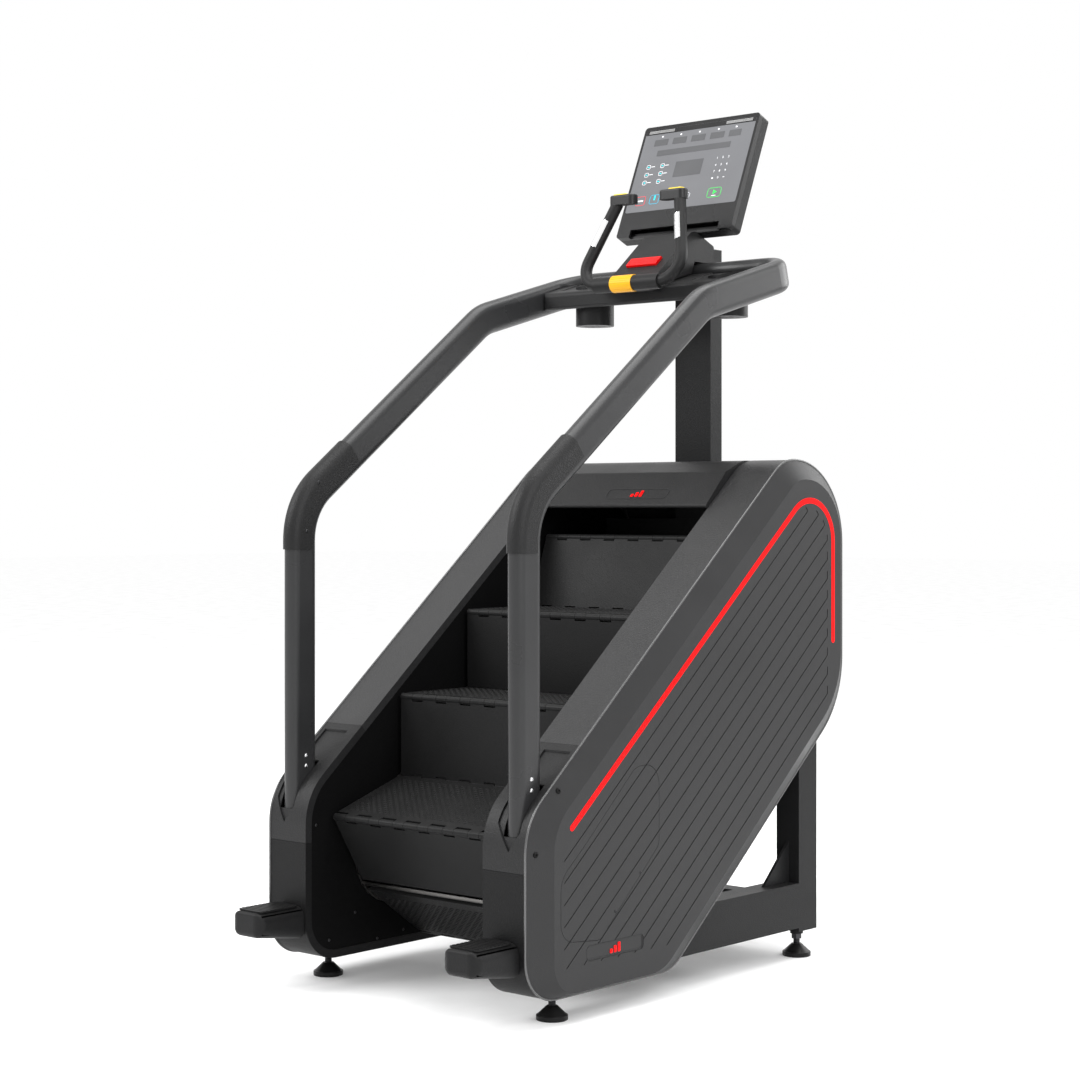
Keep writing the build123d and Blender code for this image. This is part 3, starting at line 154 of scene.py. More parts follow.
def brushed_lines_group():
    """Fine parallel lines of drawn, ground or turned metal."""
    tree = bpy.data.node_groups.new("brushed_lines", "ShaderNodeTree")
    add_sockets(
        tree,
        [("Stretch", "NodeSocketVector", (20.0, 900.0, 900.0))],
        [("Height", "NodeSocketFloat"), ("Tone", "NodeSocketFloat")],
    )
    nodes, links = tree.nodes, tree.links
    given = nodes.new("NodeGroupInput")
    out = nodes.new("NodeGroupOutput")
    place = nodes.new("ShaderNodeTexCoord")
    scaled = nodes.new("ShaderNodeVectorMath")
    scaled.operation = "MULTIPLY"
    lines = nodes.new("ShaderNodeTexNoise")
    lines.inputs["Scale"].default_value = 1.0
    lines.inputs["Detail"].default_value = 3.0
    slow = nodes.new("ShaderNodeTexNoise")
    slow.inputs["Scale"].default_value = 14.0
    links.new(place.outputs["Object"], scaled.inputs[0])
    links.new(given.outputs["Stretch"], scaled.inputs[1])
    links.new(scaled.outputs["Vector"], lines.inputs["Vector"])
    links.new(place.outputs["Object"], slow.inputs["Vector"])
    links.new(lines.outputs["Fac"], out.inputs["Height"])
    links.new(slow.outputs["Fac"], out.inputs["Tone"])
    return tree


def settled_dust_group():
    """Dust that settles on faces that look up, broken up by a soft noise."""
    tree = bpy.data.node_groups.new("settled_dust", "ShaderNodeTree")
    add_sockets(tree, [("Amount", "NodeSocketFloat", 0.1)], [("Dust", "NodeSocketFloat")])
    nodes, links = tree.nodes, tree.links
    given = nodes.new("NodeGroupInput")
    out = nodes.new("NodeGroupOutput")
    place = nodes.new("ShaderNodeTexCoord")
    shape = nodes.new("ShaderNodeNewGeometry")
    split = nodes.new("ShaderNodeSeparateXYZ")
    patches = nodes.new("ShaderNodeTexNoise")
    patches.inputs["Scale"].default_value = 22.0
    patches.inputs["Detail"].default_value = 6.0
    up = nodes.new("ShaderNodeMapRange")
    up.inputs["From Min"].default_value = 0.2
    up.inputs["From Max"].default_value = 1.0
    broken = nodes.new("ShaderNodeMath")
    broken.operation = "MULTIPLY"
    scaled = nodes.new("ShaderNodeMath")
    scaled.operation = "MULTIPLY"
    links.new(shape.outputs["Normal"], split.inputs[0])
    links.new(split.outputs["Z"], up.inputs["Value"])
    links.new(place.outputs["Object"], patches.inputs["Vector"])
    links.new(patches.outputs["Fac"], broken.inputs[0])
    links.new(up.outputs["Result"], broken.inputs[1])
    links.new(broken.outputs[0], scaled.inputs[0])
    links.new(given.outputs["Amount"], scaled.inputs[1])
    links.new(scaled.outputs[0], out.inputs["Dust"])
    return tree


GROUPS = {}


def group_node(tree, name):
    """One placed copy of a shared effect."""
    if not GROUPS:
        GROUPS["moulded_grain"] = moulded_grain_group()
        GROUPS["brushed_lines"] = brushed_lines_group()
        GROUPS["settled_dust"] = settled_dust_group()
    node = tree.nodes.new("ShaderNodeGroup")
    node.node_tree = GROUPS[name]
    return node


# ---------------------------------------------------------------- finishes


def mix_colours(tree, first, second, factor):
    """A colour mix whose factor comes from a mask."""
    mix = tree.nodes.new("ShaderNodeMix")
    mix.data_type = "RGBA"
    for socket, value in ((mix.inputs[6], first), (mix.inputs[7], second)):
        if isinstance(value, bpy.types.NodeSocket):
            tree.links.new(value, socket)
        else:
            socket.default_value = (*value, 1.0)
    tree.links.new(factor, mix.inputs[0])
    return mix.outputs[2]


def spread(tree, value, low, high):
    """A mask stretched to run from low to high."""
    node = tree.nodes.new("ShaderNodeMapRange")
    node.inputs["From Min"].default_value = 0.3
    node.inputs["From Max"].default_value = 0.7
    node.inputs["To Min"].default_value = low
    node.inputs["To Max"].default_value = high
    tree.links.new(value, node.inputs["Value"])
    return node.outputs["Result"]


def shade(tint, factor):
    return tuple(min(1.0, c * factor) for c in tint)


DUST_TINT = (0.42, 0.41, 0.39)


def bump_from(tree, height, distance, shader):
    bump = tree.nodes.new("ShaderNodeBump")
    bump.inputs["Distance"].default_value = distance
    tree.links.new(height, bump.inputs["Height"])
    tree.links.new(bump.outputs["Normal"], shader.inputs["Normal"])


def moulded(name, tint, roughness, grain=650.0, depth=0.00025, dust=0.02, speck=0.12, gloss=0.2):
    """Moulded plastic, powder coat or rubber with a pebbled skin."""
    material = bpy.data.materials.new(name)
    material.use_nodes = True
    tree = material.node_tree
    shader = tree.nodes["Principled BSDF"]
    skin = group_node(tree, "moulded_grain")
    skin.inputs["Grain Scale"].default_value = grain
    settled = group_node(tree, "settled_dust")
    settled.inputs["Amount"].default_value = dust
    toned = mix_colours(tree, shade(tint, 0.86), shade(tint, 1.14), skin.outputs["Tone"])
    pits = spread(tree, skin.outputs["Speck"], speck, 0.0)
    pitted = mix_colours(tree, toned, shade(tint, 0.35), pits)
    dusty = mix_colours(tree, pitted, DUST_TINT, settled.outputs["Dust"])
    tree.links.new(dusty, shader.inputs["Base Color"])
    worn = spread(tree, skin.outputs["Tone"], roughness - 0.05, roughness + 0.05)
    tree.links.new(worn, shader.inputs["Roughness"])
    shader.inputs["Specular IOR Level"].default_value = gloss
    bump_from(tree, skin.outputs["Height"], depth, shader)
    return material


def metal(name, tint, roughness, stretch=(20.0, 900.0, 900.0), depth=0.00004):
    """Drawn, ground or turned metal with fine lines."""
    material = bpy.data.materials.new(name)
    material.use_nodes = True
    tree = material.node_tree
    shader = tree.nodes["Principled BSDF"]
    lines = group_node(tree, "brushed_lines")
    lines.inputs["Stretch"].default_value = stretch
    toned = mix_colours(tree, shade(tint, 0.85), shade(tint, 1.12), lines.outputs["Tone"])
    tree.links.new(toned, shader.inputs["Base Color"])
    worn = spread(tree, lines.outputs["Height"], roughness - 0.06, roughness + 0.08)
    tree.links.new(worn, shader.inputs["Roughness"])
    shader.inputs["Metallic"].default_value = 1.0
    bump_from(tree, lines.outputs["Height"], depth, shader)
    return material


def glowing_print(name, tint, glow):
    """Key print with painted glow: its own colour also goes into emission, so it shines though it is no
    lamp.
    """
    material = moulded(name, tint, 0.35, grain=900.0, depth=0.00002, dust=0.0, speck=0.0)
    shader = material.node_tree.nodes["Principled BSDF"]
    base = shader.inputs["Base Color"].links[0].from_socket
    material.node_tree.links.new(base, shader.inputs["Emission Color"])
    shader.inputs["Emission Strength"].default_value = glow
    return material


# ---------------------------------------------------------------- sizes and colours a user may change


def metres(label, description, default):
    return bpy.props.FloatProperty(
        name=label,
        description=description,
        default=default,
        min=0.0,
        precision=5,
        subtype="DISTANCE",
        unit="LENGTH",
    )


def colour(label, description, default):
    return bpy.props.FloatVectorProperty(
        name=label,
        description=description,
        default=default,
        size=3,
        min=0.0,
        max=1.0,
        subtype="COLOR",
    )


def plain_number(label, description, default, **limits):
    return bpy.props.FloatProperty(name=label, description=description, default=default, **limits)


class STAIR_PG_finishes(bpy.types.PropertyGroup):
    """Main colours of the machine."""

    charcoal: colour("Charcoal", "Side panels, covers and hood", (0.0215, 0.0215, 0.0222))
    rail: colour("Rail", "Powder coat on the handrail and frame", (0.022, 0.0222, 0.023))
    step: colour("Step", "Treads and risers", (0.013, 0.013, 0.0132))
    stripe: colour("Stripe", "Red band on the side panels", (0.86, 0.001, 0.002))
    yellow: colour("Yellow", "Thumb switches and handlebar band", (0.80, 0.40, 0.012))
    bead_radius: metres("Bead radius", "Radius of the bead round a side panel's rim", 0.0026)


class STAIR_PG_grip(bpy.types.PropertyGroup):
    """The raised studs on the treads."""

    pitch_x: metres("Pitch across", "Distance between studs across the tread", 0.020)
    pitch_y: metres("Pitch along", "Distance between rows of studs", 0.0095)
    stud_length: metres("Stud length", "Length of one stud across the tread", 0.0165)
    stud_width: metres("Stud width", "Width of one stud along the tread", 0.0075)
    stud_height: metres("Stud height", "How far a stud stands out of the tread", 0.0016)
    margin: metres("Margin", "Plain border at the nose and corner", 0.016)


class STAIR_PG_fasteners(bpy.types.PropertyGroup):
    """Screw heads and foot threads."""

    head_radius: metres("Head radius", "Radius of a button-head screw", 0.0038)
    head_height: metres("Head height", "Height of a button-head screw", 0.0020)
    thread_pitch: metres("Thread pitch", "Pitch of the thread on a levelling foot", 0.0018)
    thread_depth: metres("Thread depth", "Radius of the thread's round crest", 0.0007)


class STAIR_PG_console(bpy.types.PropertyGroup):
    """Printed keys and windows on the console's film."""

    print_height: metres("Print height", "How far a printed area stands off the film", 0.00035)
    key_line: metres("Key outline", "Width of the line round a key", 0.0011)
    key_size: metres("Key size", "Side of a small key", 0.0135)
    # glow is the strength of the painted glow on the printed marks, which are no lamp
    glow: plain_number("Glow", "Brightness of the lit keys", 0.35, min=0.0)


class STAIR_PG_stage(bpy.types.PropertyGroup):
    """Floor, lights and camera."""

    floor_size: metres("Floor size", "Side of the square floor", 80.0)
    focal_length: plain_number("Focal length", "Camera focal length in mm", 74.33)
    azimuth: plain_number("Azimuth", "Camera heading", math.radians(41.28), subtype="ANGLE")
    light: plain_number("Light", "Brightness of the studio lights", 1.0, min=0.0)


MATERIALS = {}


def coated(name, *look, **grain):
    """Keep a plastic, paint or rubber finish under its name."""
    MATERIALS[name] = moulded(name, *look, **grain)


def bare(name, *look, **grain):
    """Keep a bare metal finish under its name."""
    MATERIALS[name] = metal(name, *look, **grain)


def make_materials(tones):
    """One finish for each material slot of the record, and a few for the added pieces."""
    charcoal = tuple(tones.charcoal)
    rail = tuple(tones.rail)
    step = tuple(tones.step)
    stripe = tuple(tones.stripe)
    yellow = tuple(tones.yellow)
    black = (0.006, 0.006, 0.0062)
    lemon = (yellow[0], 1.5 * yellow[1], 3 * yellow[2])
    coated("panel_charcoal", charcoal, 0.40, grain=700, depth=0.00018, gloss=0.24)
    coated("hatch_charcoal", charcoal, 0.41, grain=700, depth=0.00018, gloss=0.24)
    coated("stripe_red", stripe, 0.32, grain=900, depth=0.00003, dust=0.0, speck=0.02, gloss=0.1)
    coated("edge_grey", shade(charcoal, 1.15), 0.36, grain=330, depth=0.0007, speck=0.5, gloss=0.35)
    coated("collar_grey", shade(charcoal, 0.75), 0.42, grain=400, depth=0.0005, speck=0.3)
    coated("front_grey", shade(charcoal, 0.45), 0.42, grain=420, depth=0.0005, speck=0.3, gloss=0.12)
    coated("hood_grey", shade(charcoal, 0.65), 0.38, grain=420, depth=0.0005, speck=0.35, gloss=0.18)
    coated("rear_grey", shade(charcoal, 0.7), 0.48, grain=500, depth=0.0003)
    # inner_black is the inner walls' dark plastic, darkened further to 0.6 of black as painted shade that
    # falls between the side panels
    coated("inner_black", shade(black, 0.6), 0.6, grain=500, depth=0.0003, dust=0.0, gloss=0.06)
    coated("step_black", step, 0.36, grain=600, depth=0.0003, speck=0.3, gloss=0.11)
    bare("chain_steel", (0.16, 0.155, 0.15), 0.34, stretch=(300.0, 300.0, 300.0))
    bare("shaft_steel", (0.42, 0.42, 0.43), 0.30, stretch=(900.0, 60.0, 60.0))
    coated("bearing_iron", (0.03, 0.03, 0.033), 0.5, grain=350, depth=0.0006)
    bare("pulley_alloy", (0.60, 0.60, 0.61), 0.28, stretch=(900.0, 40.0, 40.0))
    coated("belt_rubber", (0.010, 0.010, 0.010), 0.6, grain=800, depth=0.0002)
    bare("flywheel_iron", (0.18, 0.18, 0.19), 0.36, stretch=(900.0, 50.0, 50.0))
    coated("alternator_case", (0.04, 0.04, 0.044), 0.42, grain=450, depth=0.0003)
    coated("guide_plastic", (0.50, 0.49, 0.46), 0.5, grain=500, depth=0.0002)
    coated("frame_paint", shade(rail, 0.55), 0.40, grain=520, depth=0.0003, gloss=0.13)
    coated("rail_paint", rail, 0.30, grain=800, depth=0.00012, speck=0.08, gloss=0.35)
    coated("sleeve_plastic", shade(charcoal, 0.6), 0.42, grain=450, depth=0.0005, speck=0.25)
    coated("foot_rubber", black, 0.36, grain=600, depth=0.0002)
    bare("nut_steel", (0.06, 0.06, 0.063), 0.35, stretch=(300.0, 300.0, 40.0))
    coated("footrest_grey", shade(charcoal, 0.5), 0.45, grain=420, depth=0.0004, gloss=0.14)
    coated("pad_rubber", black, 0.5, grain=500, depth=0.0005, gloss=0.16)
    coated("tray_grey", shade(charcoal, 0.6), 0.42, grain=520, depth=0.0004, gloss=0.18)
    coated("cup_black", (0.010, 0.010, 0.0105), 0.40, grain=600, depth=0.0002, gloss=0.18)
    coated("neck_grey", shade(charcoal, 0.5), 0.42, grain=520, depth=0.0004, gloss=0.18)
    coated("grip_rubber", (0.009, 0.009, 0.0093), 0.45, grain=900, depth=0.0003, gloss=0.2)
    coated("band_yellow", yellow, 0.34, grain=900, depth=0.00005, dust=0.0, speck=0.0)
    coated("pod_black", (0.010, 0.010, 0.0105), 0.34, grain=900, depth=0.0001, gloss=0.3)
    bare("sensor_steel", (0.90, 0.90, 0.91), 0.16, stretch=(400.0, 400.0, 30.0))
    coated("switch_yellow", lemon, 0.34, grain=900, depth=0.00005, dust=0.0, speck=0.0)
    coated("stop_red", shade(stripe, 0.85), 0.34, grain=900, depth=0.00005, dust=0.0, speck=0.0)
    coated("console_black", (0.009, 0.009, 0.0095), 0.40, grain=600, depth=0.0003, gloss=0.15)
    coated("bezel_black", (0.009, 0.009, 0.0095), 0.30, grain=900, depth=0.0001, gloss=0.22)
    coated("overlay_grey", (0.125, 0.127, 0.135), 0.34, grain=900, depth=0.00006, gloss=0.3)
    bare("screw_black", (0.05, 0.05, 0.052), 0.32, stretch=(500.0, 500.0, 500.0))
    coated("inlet_black", black, 0.4, grain=700, depth=0.0002)
    bare("bright_screw", (0.62, 0.62, 0.63), 0.24, stretch=(500.0, 500.0, 500.0))
    # the bead's colour is lighter than the panel charcoal: a painted highlight along the rim, on top of its
    # real gloss
    coated("bead_painted_highlight", (0.05, 0.05, 0.051), 0.22, depth=0.00004, dust=0.0, gloss=0.9)
    coated("plug_black", shade(black, 0.5), 0.45, grain=800, depth=0.0001, gloss=0.15)
    coated("notice_pale", (0.45, 0.45, 0.45), 0.4, grain=900, depth=0.00002, dust=0.0, gloss=0.2)
    coated("window_grey", (0.085, 0.086, 0.090), 0.2, grain=900, depth=0.00002, dust=0.0, gloss=0.3)


# ---------------------------------------------------------------- mesh helpers


def mesh_object(name, corners, faces, material):
    """A new object whose place is in its mesh, with one finish."""
    mesh = bpy.data.meshes.new(name)
    mesh.from_pydata([tuple(c) for c in corners], [], faces)
    mesh.update()
    mesh.materials.append(material)
    thing = bpy.data.objects.new(name, mesh)
    bpy.context.scene.collection.objects.link(thing)
    return thing


def face_outwards(thing):
    """Merge doubles and turn every face to the outside of its closed shell."""
    work = bmesh.new()
    work.from_mesh(thing.data)
    bmesh.ops.remove_doubles(work, verts=work.verts, dist=1e-6)
    bmesh.ops.recalc_face_normals(work, faces=work.faces)
    work.to_mesh(thing.data)
    work.free()


def placed(thing, body):
    """Fasten a finished piece to a body."""
    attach(thing, body)


def join_shapes(name, shapes, material):
    """Several lists of corners and faces made one object."""
    corners, faces = [], []
    for more_corners, more_faces in shapes:
        start = len(corners)
        corners += more_corners
        faces += [[i + start for i in face] for face in more_faces]
    thing = mesh_object(name, corners, faces, material)
    face_outwards(thing)
    return thing


def rounded_outline(width, height, radius, steps=5):
    """Corner points of a rounded rectangle about the origin."""
    points = []
    radius = min(radius, width / 2 - 1e-5, height / 2 - 1e-5)
    for turn, (sx, sy) in enumerate(((1, 1), (-1, 1), (-1, -1), (1, -1))):
        cx, cy = sx * (width / 2 - radius), sy * (height / 2 - radius)
        for i in range(steps + 1):
            angle = math.pi / 2 * (turn + i / steps)
            points.append((cx + radius * math.cos(angle), cy + radius * math.sin(angle)))
    return points


def slab(outline, put, low, high):
    """A closed plate over an outline, between two heights; put turns local points into places."""
    n = len(outline)
    corners = [put(x, y, low) for x, y in outline] + [put(x, y, high) for x, y in outline]
    faces = [list(range(n))[::-1], list(range(n, 2 * n))]
    faces += [[i, (i + 1) % n, n + (i + 1) % n, n + i] for i in range(n)]
    return corners, faces


def ring(outer, inner, put, low, high):
    """A closed frame between two outlines of the same number of points."""
    n = len(outer)
    corners = [put(x, y, z) for z in (low, high) for line in (outer, inner) for x, y in line]
    faces = []
    for i in range(n):
        j = (i + 1) % n
        faces.append([i, j, n + j, n + i])
        faces.append([2 * n + i, 3 * n + i, 3 * n + j, 2 * n + j])
        faces.append([i, 2 * n + i, 2 * n + j, j])
        faces.append([n + i, n + j, 3 * n + j, 3 * n + i])
    return corners, faces


def shifted(points, x, y):
    return [(px + x, py + y) for px, py in points]


# ---------------------------------------------------------------- geometry node helpers


def new_tree(name, inputs):
    """An empty geometry node tree with a mesh in, a mesh out and named inputs."""
    tree = bpy.data.node_groups.new(name, "GeometryNodeTree")
    tree.interface.new_socket(name="Geometry", in_out="INPUT", socket_type="NodeSocketGeometry")
    for label, kind, value in inputs:
        socket = tree.interface.new_socket(name=label, in_out="INPUT", socket_type=kind)
        if value is not None:
            socket.default_value = value
    tree.interface.new_socket(name="Geometry", in_out="OUTPUT", socket_type="NodeSocketGeometry")
    return tree


def finish_tree(tree, given, geometry):
    """Realize the instances, set the material and end the tree."""
    real = tree.nodes.new("GeometryNodeRealizeInstances")
    coat = tree.nodes.new("GeometryNodeSetMaterial")
    out = tree.nodes.new("NodeGroupOutput")
    tree.links.new(geometry, real.inputs[0])
    tree.links.new(real.outputs[0], coat.inputs["Geometry"])
    tree.links.new(given.outputs["Material"], coat.inputs["Material"])
    tree.links.new(coat.outputs[0], out.inputs[0])


def math_node(tree, operation, first, second):
    node = tree.nodes.new("ShaderNodeMath")
    node.operation = operation
    for socket, value in zip(node.inputs, (first, second)):
        if isinstance(value, bpy.types.NodeSocket):
            tree.links.new(value, socket)
        else:
            socket.default_value = value
    return node.outputs[0]


def run_tree(name, tree, values, start_mesh=None):
    """Evaluate a tree with these input values and return the result as a plain mesh object."""
    mesh = start_mesh or bpy.data.meshes.new(name + "_start")
    carrier = bpy.data.objects.new(name, mesh)
    bpy.context.scene.collection.objects.link(carrier)
    modifier = carrier.modifiers.new("build", "NODES")
    modifier.node_group = tree
    for item in tree.interface.items_tree:
        if item.in_out == "INPUT" and item.name in values:
            modifier[item.identifier] = values[item.name]
    bpy.context.view_layer.update()
    graph = bpy.context.evaluated_depsgraph_get()
    result = bpy.data.meshes.new_from_object(carrier.evaluated_get(graph), depsgraph=graph)
    bpy.data.objects.remove(carrier)
    result.name = name
    thing = bpy.data.objects.new(name, result)
    bpy.context.scene.collection.objects.link(thing)
    if not result.polygons:
        raise RuntimeError(f"{name} came out empty")
    return thing


def grip_tree():
    """Staggered rows of flattened diamond studs on a plane, turned about X and moved into place."""
    tree = new_tree(
        "tread_grip",
        [
            ("Count X", "NodeSocketInt", 10),
            ("Count Y", "NodeSocketInt", 10),
            ("Pitch X", "NodeSocketFloat", 0.02),
            ("Pitch Y", "NodeSocketFloat", 0.01),
            ("Stud Length", "NodeSocketFloat", 0.016),
            ("Stud Width", "NodeSocketFloat", 0.007),
            ("Stud Height", "NodeSocketFloat", 0.0016),
            ("Turn", "NodeSocketFloat", 0.0),
            ("Place", "NodeSocketVector", None),
            ("Material", "NodeSocketMaterial", None),
        ],
    )
    nodes, links = tree.nodes, tree.links
    given = nodes.new("NodeGroupInput")
    gaps_x = math_node(tree, "SUBTRACT", given.outputs["Count X"], 1.0)
    gaps_y = math_node(tree, "SUBTRACT", given.outputs["Count Y"], 1.0)
    size_x = math_node(tree, "MULTIPLY", gaps_x, given.outputs["Pitch X"])
    size_y = math_node(tree, "MULTIPLY", gaps_y, given.outputs["Pitch Y"])
    grid = nodes.new("GeometryNodeMeshGrid")
    links.new(size_x, grid.inputs["Size X"])
    links.new(size_y, grid.inputs["Size Y"])
    links.new(given.outputs["Count X"], grid.inputs["Vertices X"])
    links.new(given.outputs["Count Y"], grid.inputs["Vertices Y"])
    where = nodes.new("GeometryNodeInputPosition")
    split = nodes.new("ShaderNodeSeparateXYZ")
    links.new(where.outputs[0], split.inputs[0])
    from_edge = math_node(tree, "ADD", split.outputs["Y"], math_node(tree, "MULTIPLY", size_y, 0.5))
    row = math_node(tree, "ROUND", math_node(tree, "DIVIDE", from_edge, given.outputs["Pitch Y"]), 0.0)
    odd = math_node(tree, "MODULO", row, 2.0)
    sideways = math_node(tree, "MULTIPLY", math_node(tree, "SUBTRACT", odd, 0.5), given.outputs["Pitch X"])
    half_sideways = math_node(tree, "MULTIPLY", sideways, 0.5)
    offset = nodes.new("ShaderNodeCombineXYZ")
    links.new(half_sideways, offset.inputs["X"])
    stagger = nodes.new("GeometryNodeSetPosition")
    links.new(grid.outputs["Mesh"], stagger.inputs["Geometry"])
    links.new(offset.outputs[0], stagger.inputs["Offset"])
    stud = nodes.new("GeometryNodeMeshCone")
    stud.inputs["Vertices"].default_value = 4
    stud.inputs["Radius Top"].default_value = 0.62
    stud.inputs["Radius Bottom"].default_value = 1.0
    stud.inputs["Depth"].default_value = 1.0
    half_length = math_node(tree, "MULTIPLY", given.outputs["Stud Length"], 0.5)
    half_width = math_node(tree, "MULTIPLY", given.outputs["Stud Width"], 0.5)
    scale = nodes.new("ShaderNodeCombineXYZ")
    links.new(half_length, scale.inputs["X"])
    links.new(half_width, scale.inputs["Y"])
    links.new(given.outputs["Stud Height"], scale.inputs["Z"])
    shaped = nodes.new("GeometryNodeTransform")
    links.new(stud.outputs["Mesh"], shaped.inputs["Geometry"])
    links.new(scale.outputs[0], shaped.inputs["Scale"])
    spread_out = nodes.new("GeometryNodeInstanceOnPoints")
    links.new(stagger.outputs["Geometry"], spread_out.inputs["Points"])
    links.new(shaped.outputs["Geometry"], spread_out.inputs["Instance"])
    turn = nodes.new("ShaderNodeCombineXYZ")
    links.new(given.outputs["Turn"], turn.inputs["X"])
    move = nodes.new("GeometryNodeTransform")
    links.new(spread_out.outputs["Instances"], move.inputs["Geometry"])
    links.new(turn.outputs[0], move.inputs["Rotation"])
    links.new(given.outputs["Place"], move.inputs["Translation"])
    finish_tree(tree, given, move.outputs["Geometry"])
    return tree


def screws_tree():
    """A screw head on every point of the start mesh, its top along the point's facing direction."""
    tree = new_tree(
        "screw_heads",
        [
            ("Head", "NodeSocketObject", None),
            ("Scale", "NodeSocketFloat", 1.0),
            ("Material", "NodeSocketMaterial", None),
        ],
    )
    nodes, links = tree.nodes, tree.links
    given = nodes.new("NodeGroupInput")
    head = nodes.new("GeometryNodeObjectInfo")
    links.new(given.outputs["Head"], head.inputs["Object"])
    facing = nodes.new("GeometryNodeInputNamedAttribute")
    facing.data_type = "FLOAT_VECTOR"
    facing.inputs["Name"].default_value = "facing"
    align = nodes.new("FunctionNodeAlignRotationToVector")
    align.axis = "Z"
    links.new(facing.outputs["Attribute"], align.inputs["Vector"])
    put = nodes.new("GeometryNodeInstanceOnPoints")
    links.new(given.outputs["Geometry"], put.inputs["Points"])
    links.new(head.outputs["Geometry"], put.inputs["Instance"])
    links.new(align.outputs["Rotation"], put.inputs["Rotation"])
    links.new(given.outputs["Scale"], put.inputs["Scale"])
    finish_tree(tree, given, put.outputs["Instances"])
    return tree


def thread_tree():
    """A round-crested helix: the thread on a stem."""
    tree = new_tree(
        "stem_thread",
        [
            ("Turns", "NodeSocketFloat", 8.0),
            ("Radius", "NodeSocketFloat", 0.008),
            ("Height", "NodeSocketFloat", 0.012),
            ("Crest", "NodeSocketFloat", 0.0007),
            ("Place", "NodeSocketVector", None),
            ("Material", "NodeSocketMaterial", None),
        ],
    )
    nodes, links = tree.nodes, tree.links
    given = nodes.new("NodeGroupInput")
    spiral = nodes.new("GeometryNodeCurveSpiral")
    spiral.inputs["Resolution"].default_value = 24
    links.new(given.outputs["Turns"], spiral.inputs["Rotations"])
    links.new(given.outputs["Radius"], spiral.inputs["Start Radius"])
    links.new(given.outputs["Radius"], spiral.inputs["End Radius"])
    links.new(given.outputs["Height"], spiral.inputs["Height"])
    crest = nodes.new("GeometryNodeCurvePrimitiveCircle")
    crest.inputs["Resolution"].default_value = 6
    links.new(given.outputs["Crest"], crest.inputs["Radius"])
    tube = nodes.new("GeometryNodeCurveToMesh")
    tube.inputs["Fill Caps"].default_value = True
    links.new(spiral.outputs[0], tube.inputs["Curve"])
    links.new(crest.outputs["Curve"], tube.inputs["Profile Curve"])
    move = nodes.new("GeometryNodeTransform")
    links.new(tube.outputs[0], move.inputs["Geometry"])
    links.new(given.outputs["Place"], move.inputs["Translation"])
    finish_tree(tree, given, move.outputs["Geometry"])
    return tree


# ---------------------------------------------------------------- pieces


class STAIR_OT_finishes(bpy.types.Operator):
    """Give every node of the frame the finish of its material slot"""

    bl_idname = "stair.finishes"
    bl_label = "Finishes"

    def execute(self, context):
        make_materials(context.scene.stair_finishes)
        for part in frame["record"]["subparts"]:
            thing = frame["nodes"][part["node"]]
            finish = MATERIALS[part["material_slot"]]
            if not thing.material_slots:
                thing.data.materials.append(finish)
            for slot in thing.material_slots:
                slot.material = finish
        return {"FINISHED"}


TREADS = {
    "tread_1": ("tread_1", (0, 1)),
    "tread_2": ("upper_run", (0, 1)),
    "tread_3": ("upper_run", (0, 1)),
    "tread_4": ("tread_4", (0.5, 1)),
    "tread_bottom": ("tread_bottom", (-0.5, -1)),
    "tread_behind": ("tread_behind", (0, -1)),
}


class STAIR_OT_tread_grip(bpy.types.Operator):
    """Cover the treads with rows of low diamond studs"""

    bl_idname = "stair.tread_grip"
    bl_label = "Tread grip"

    def execute(self, context):
        sizes = context.scene.stair_grip
        tree = grip_tree()
        for node, (body, outwards) in TREADS.items():
            middle, turn, length = plate_frame(node, outwards)
            low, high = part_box(node)
            width = high.x - low.x
            values = {
                "Count X": int((width - 2 * sizes.margin) / sizes.pitch_x),
                "Count Y": int((length - 4 * sizes.margin) / sizes.pitch_y),
                "Pitch X": sizes.pitch_x,
                "Pitch Y": sizes.pitch_y,
                "Stud Length": sizes.stud_length,
                "Stud Width": sizes.stud_width,
                "Stud Height": sizes.stud_height,
                "Turn": turn,
                "Place": middle,
                "Material": MATERIALS["step_black"],
            }
            placed(run_tree(node + "_grip", tree, values), body)
        return {"FINISHED"}


POST_MIDDLE_X = 0.368
# screws above this height hold the posts, and the others hold covers whose outer skin lies past COVER_X
POSTS_ABOVE = 0.5
COVER_X = 0.4
# an elbow sleeve's two screws: how far behind its front edge, and how far from its bottom or top
LOWER_SLEEVE_SCREW = (0.045, 0.045)
UPPER_SLEEVE_SCREW = (0.085, 0.105)
FOOT_CONE_HEIGHT = 0.033
FOOT_STEM_RADIUS = 0.008
# the two plugs on a side panel's bevel, as parts of the panel's depth and height
PLUG_PARTS = ((0.083, 0.382), (0.021, 0.272))


def screw_head(radius, height):
    """A button head with a hexagonal socket, standing on its own origin along Z."""
    around = 24
    profile = [(1.0, 0.0), (1.0, 0.25), (0.86, 0.7), (0.6, 1.0), (0.44, 1.0)]
    corners, faces = [], []
    for r, z in profile:
        for i in range(around):
            angle = 2 * math.pi * i / around
            corners.append((radius * r * math.cos(angle), radius * r * math.sin(angle), height * z))
    for z in (1.0, 0.35):
        for i in range(around):
            angle = 2 * math.pi * i / around
            sector = (angle % (math.pi / 3)) - math.pi / 6
            reach = 0.36 * math.cos(math.pi / 6) / math.cos(sector)
            corners.append((radius * reach * math.cos(angle), radius * reach * math.sin(angle), height * z))
    rows = len(profile) + 2
    for row in range(rows - 1):
        for i in range(around):
            j = (i + 1) % around
            low, high = row * around, (row + 1) * around
            faces.append([low + i, low + j, high + j, high + i])
    faces.append([(rows - 1) * around + i for i in range(around)])
    faces.append([around - 1 - i for i in range(around)])
    head = mesh_object("screw_head", corners, faces, MATERIALS["screw_black"])
    face_outwards(head)
    return head


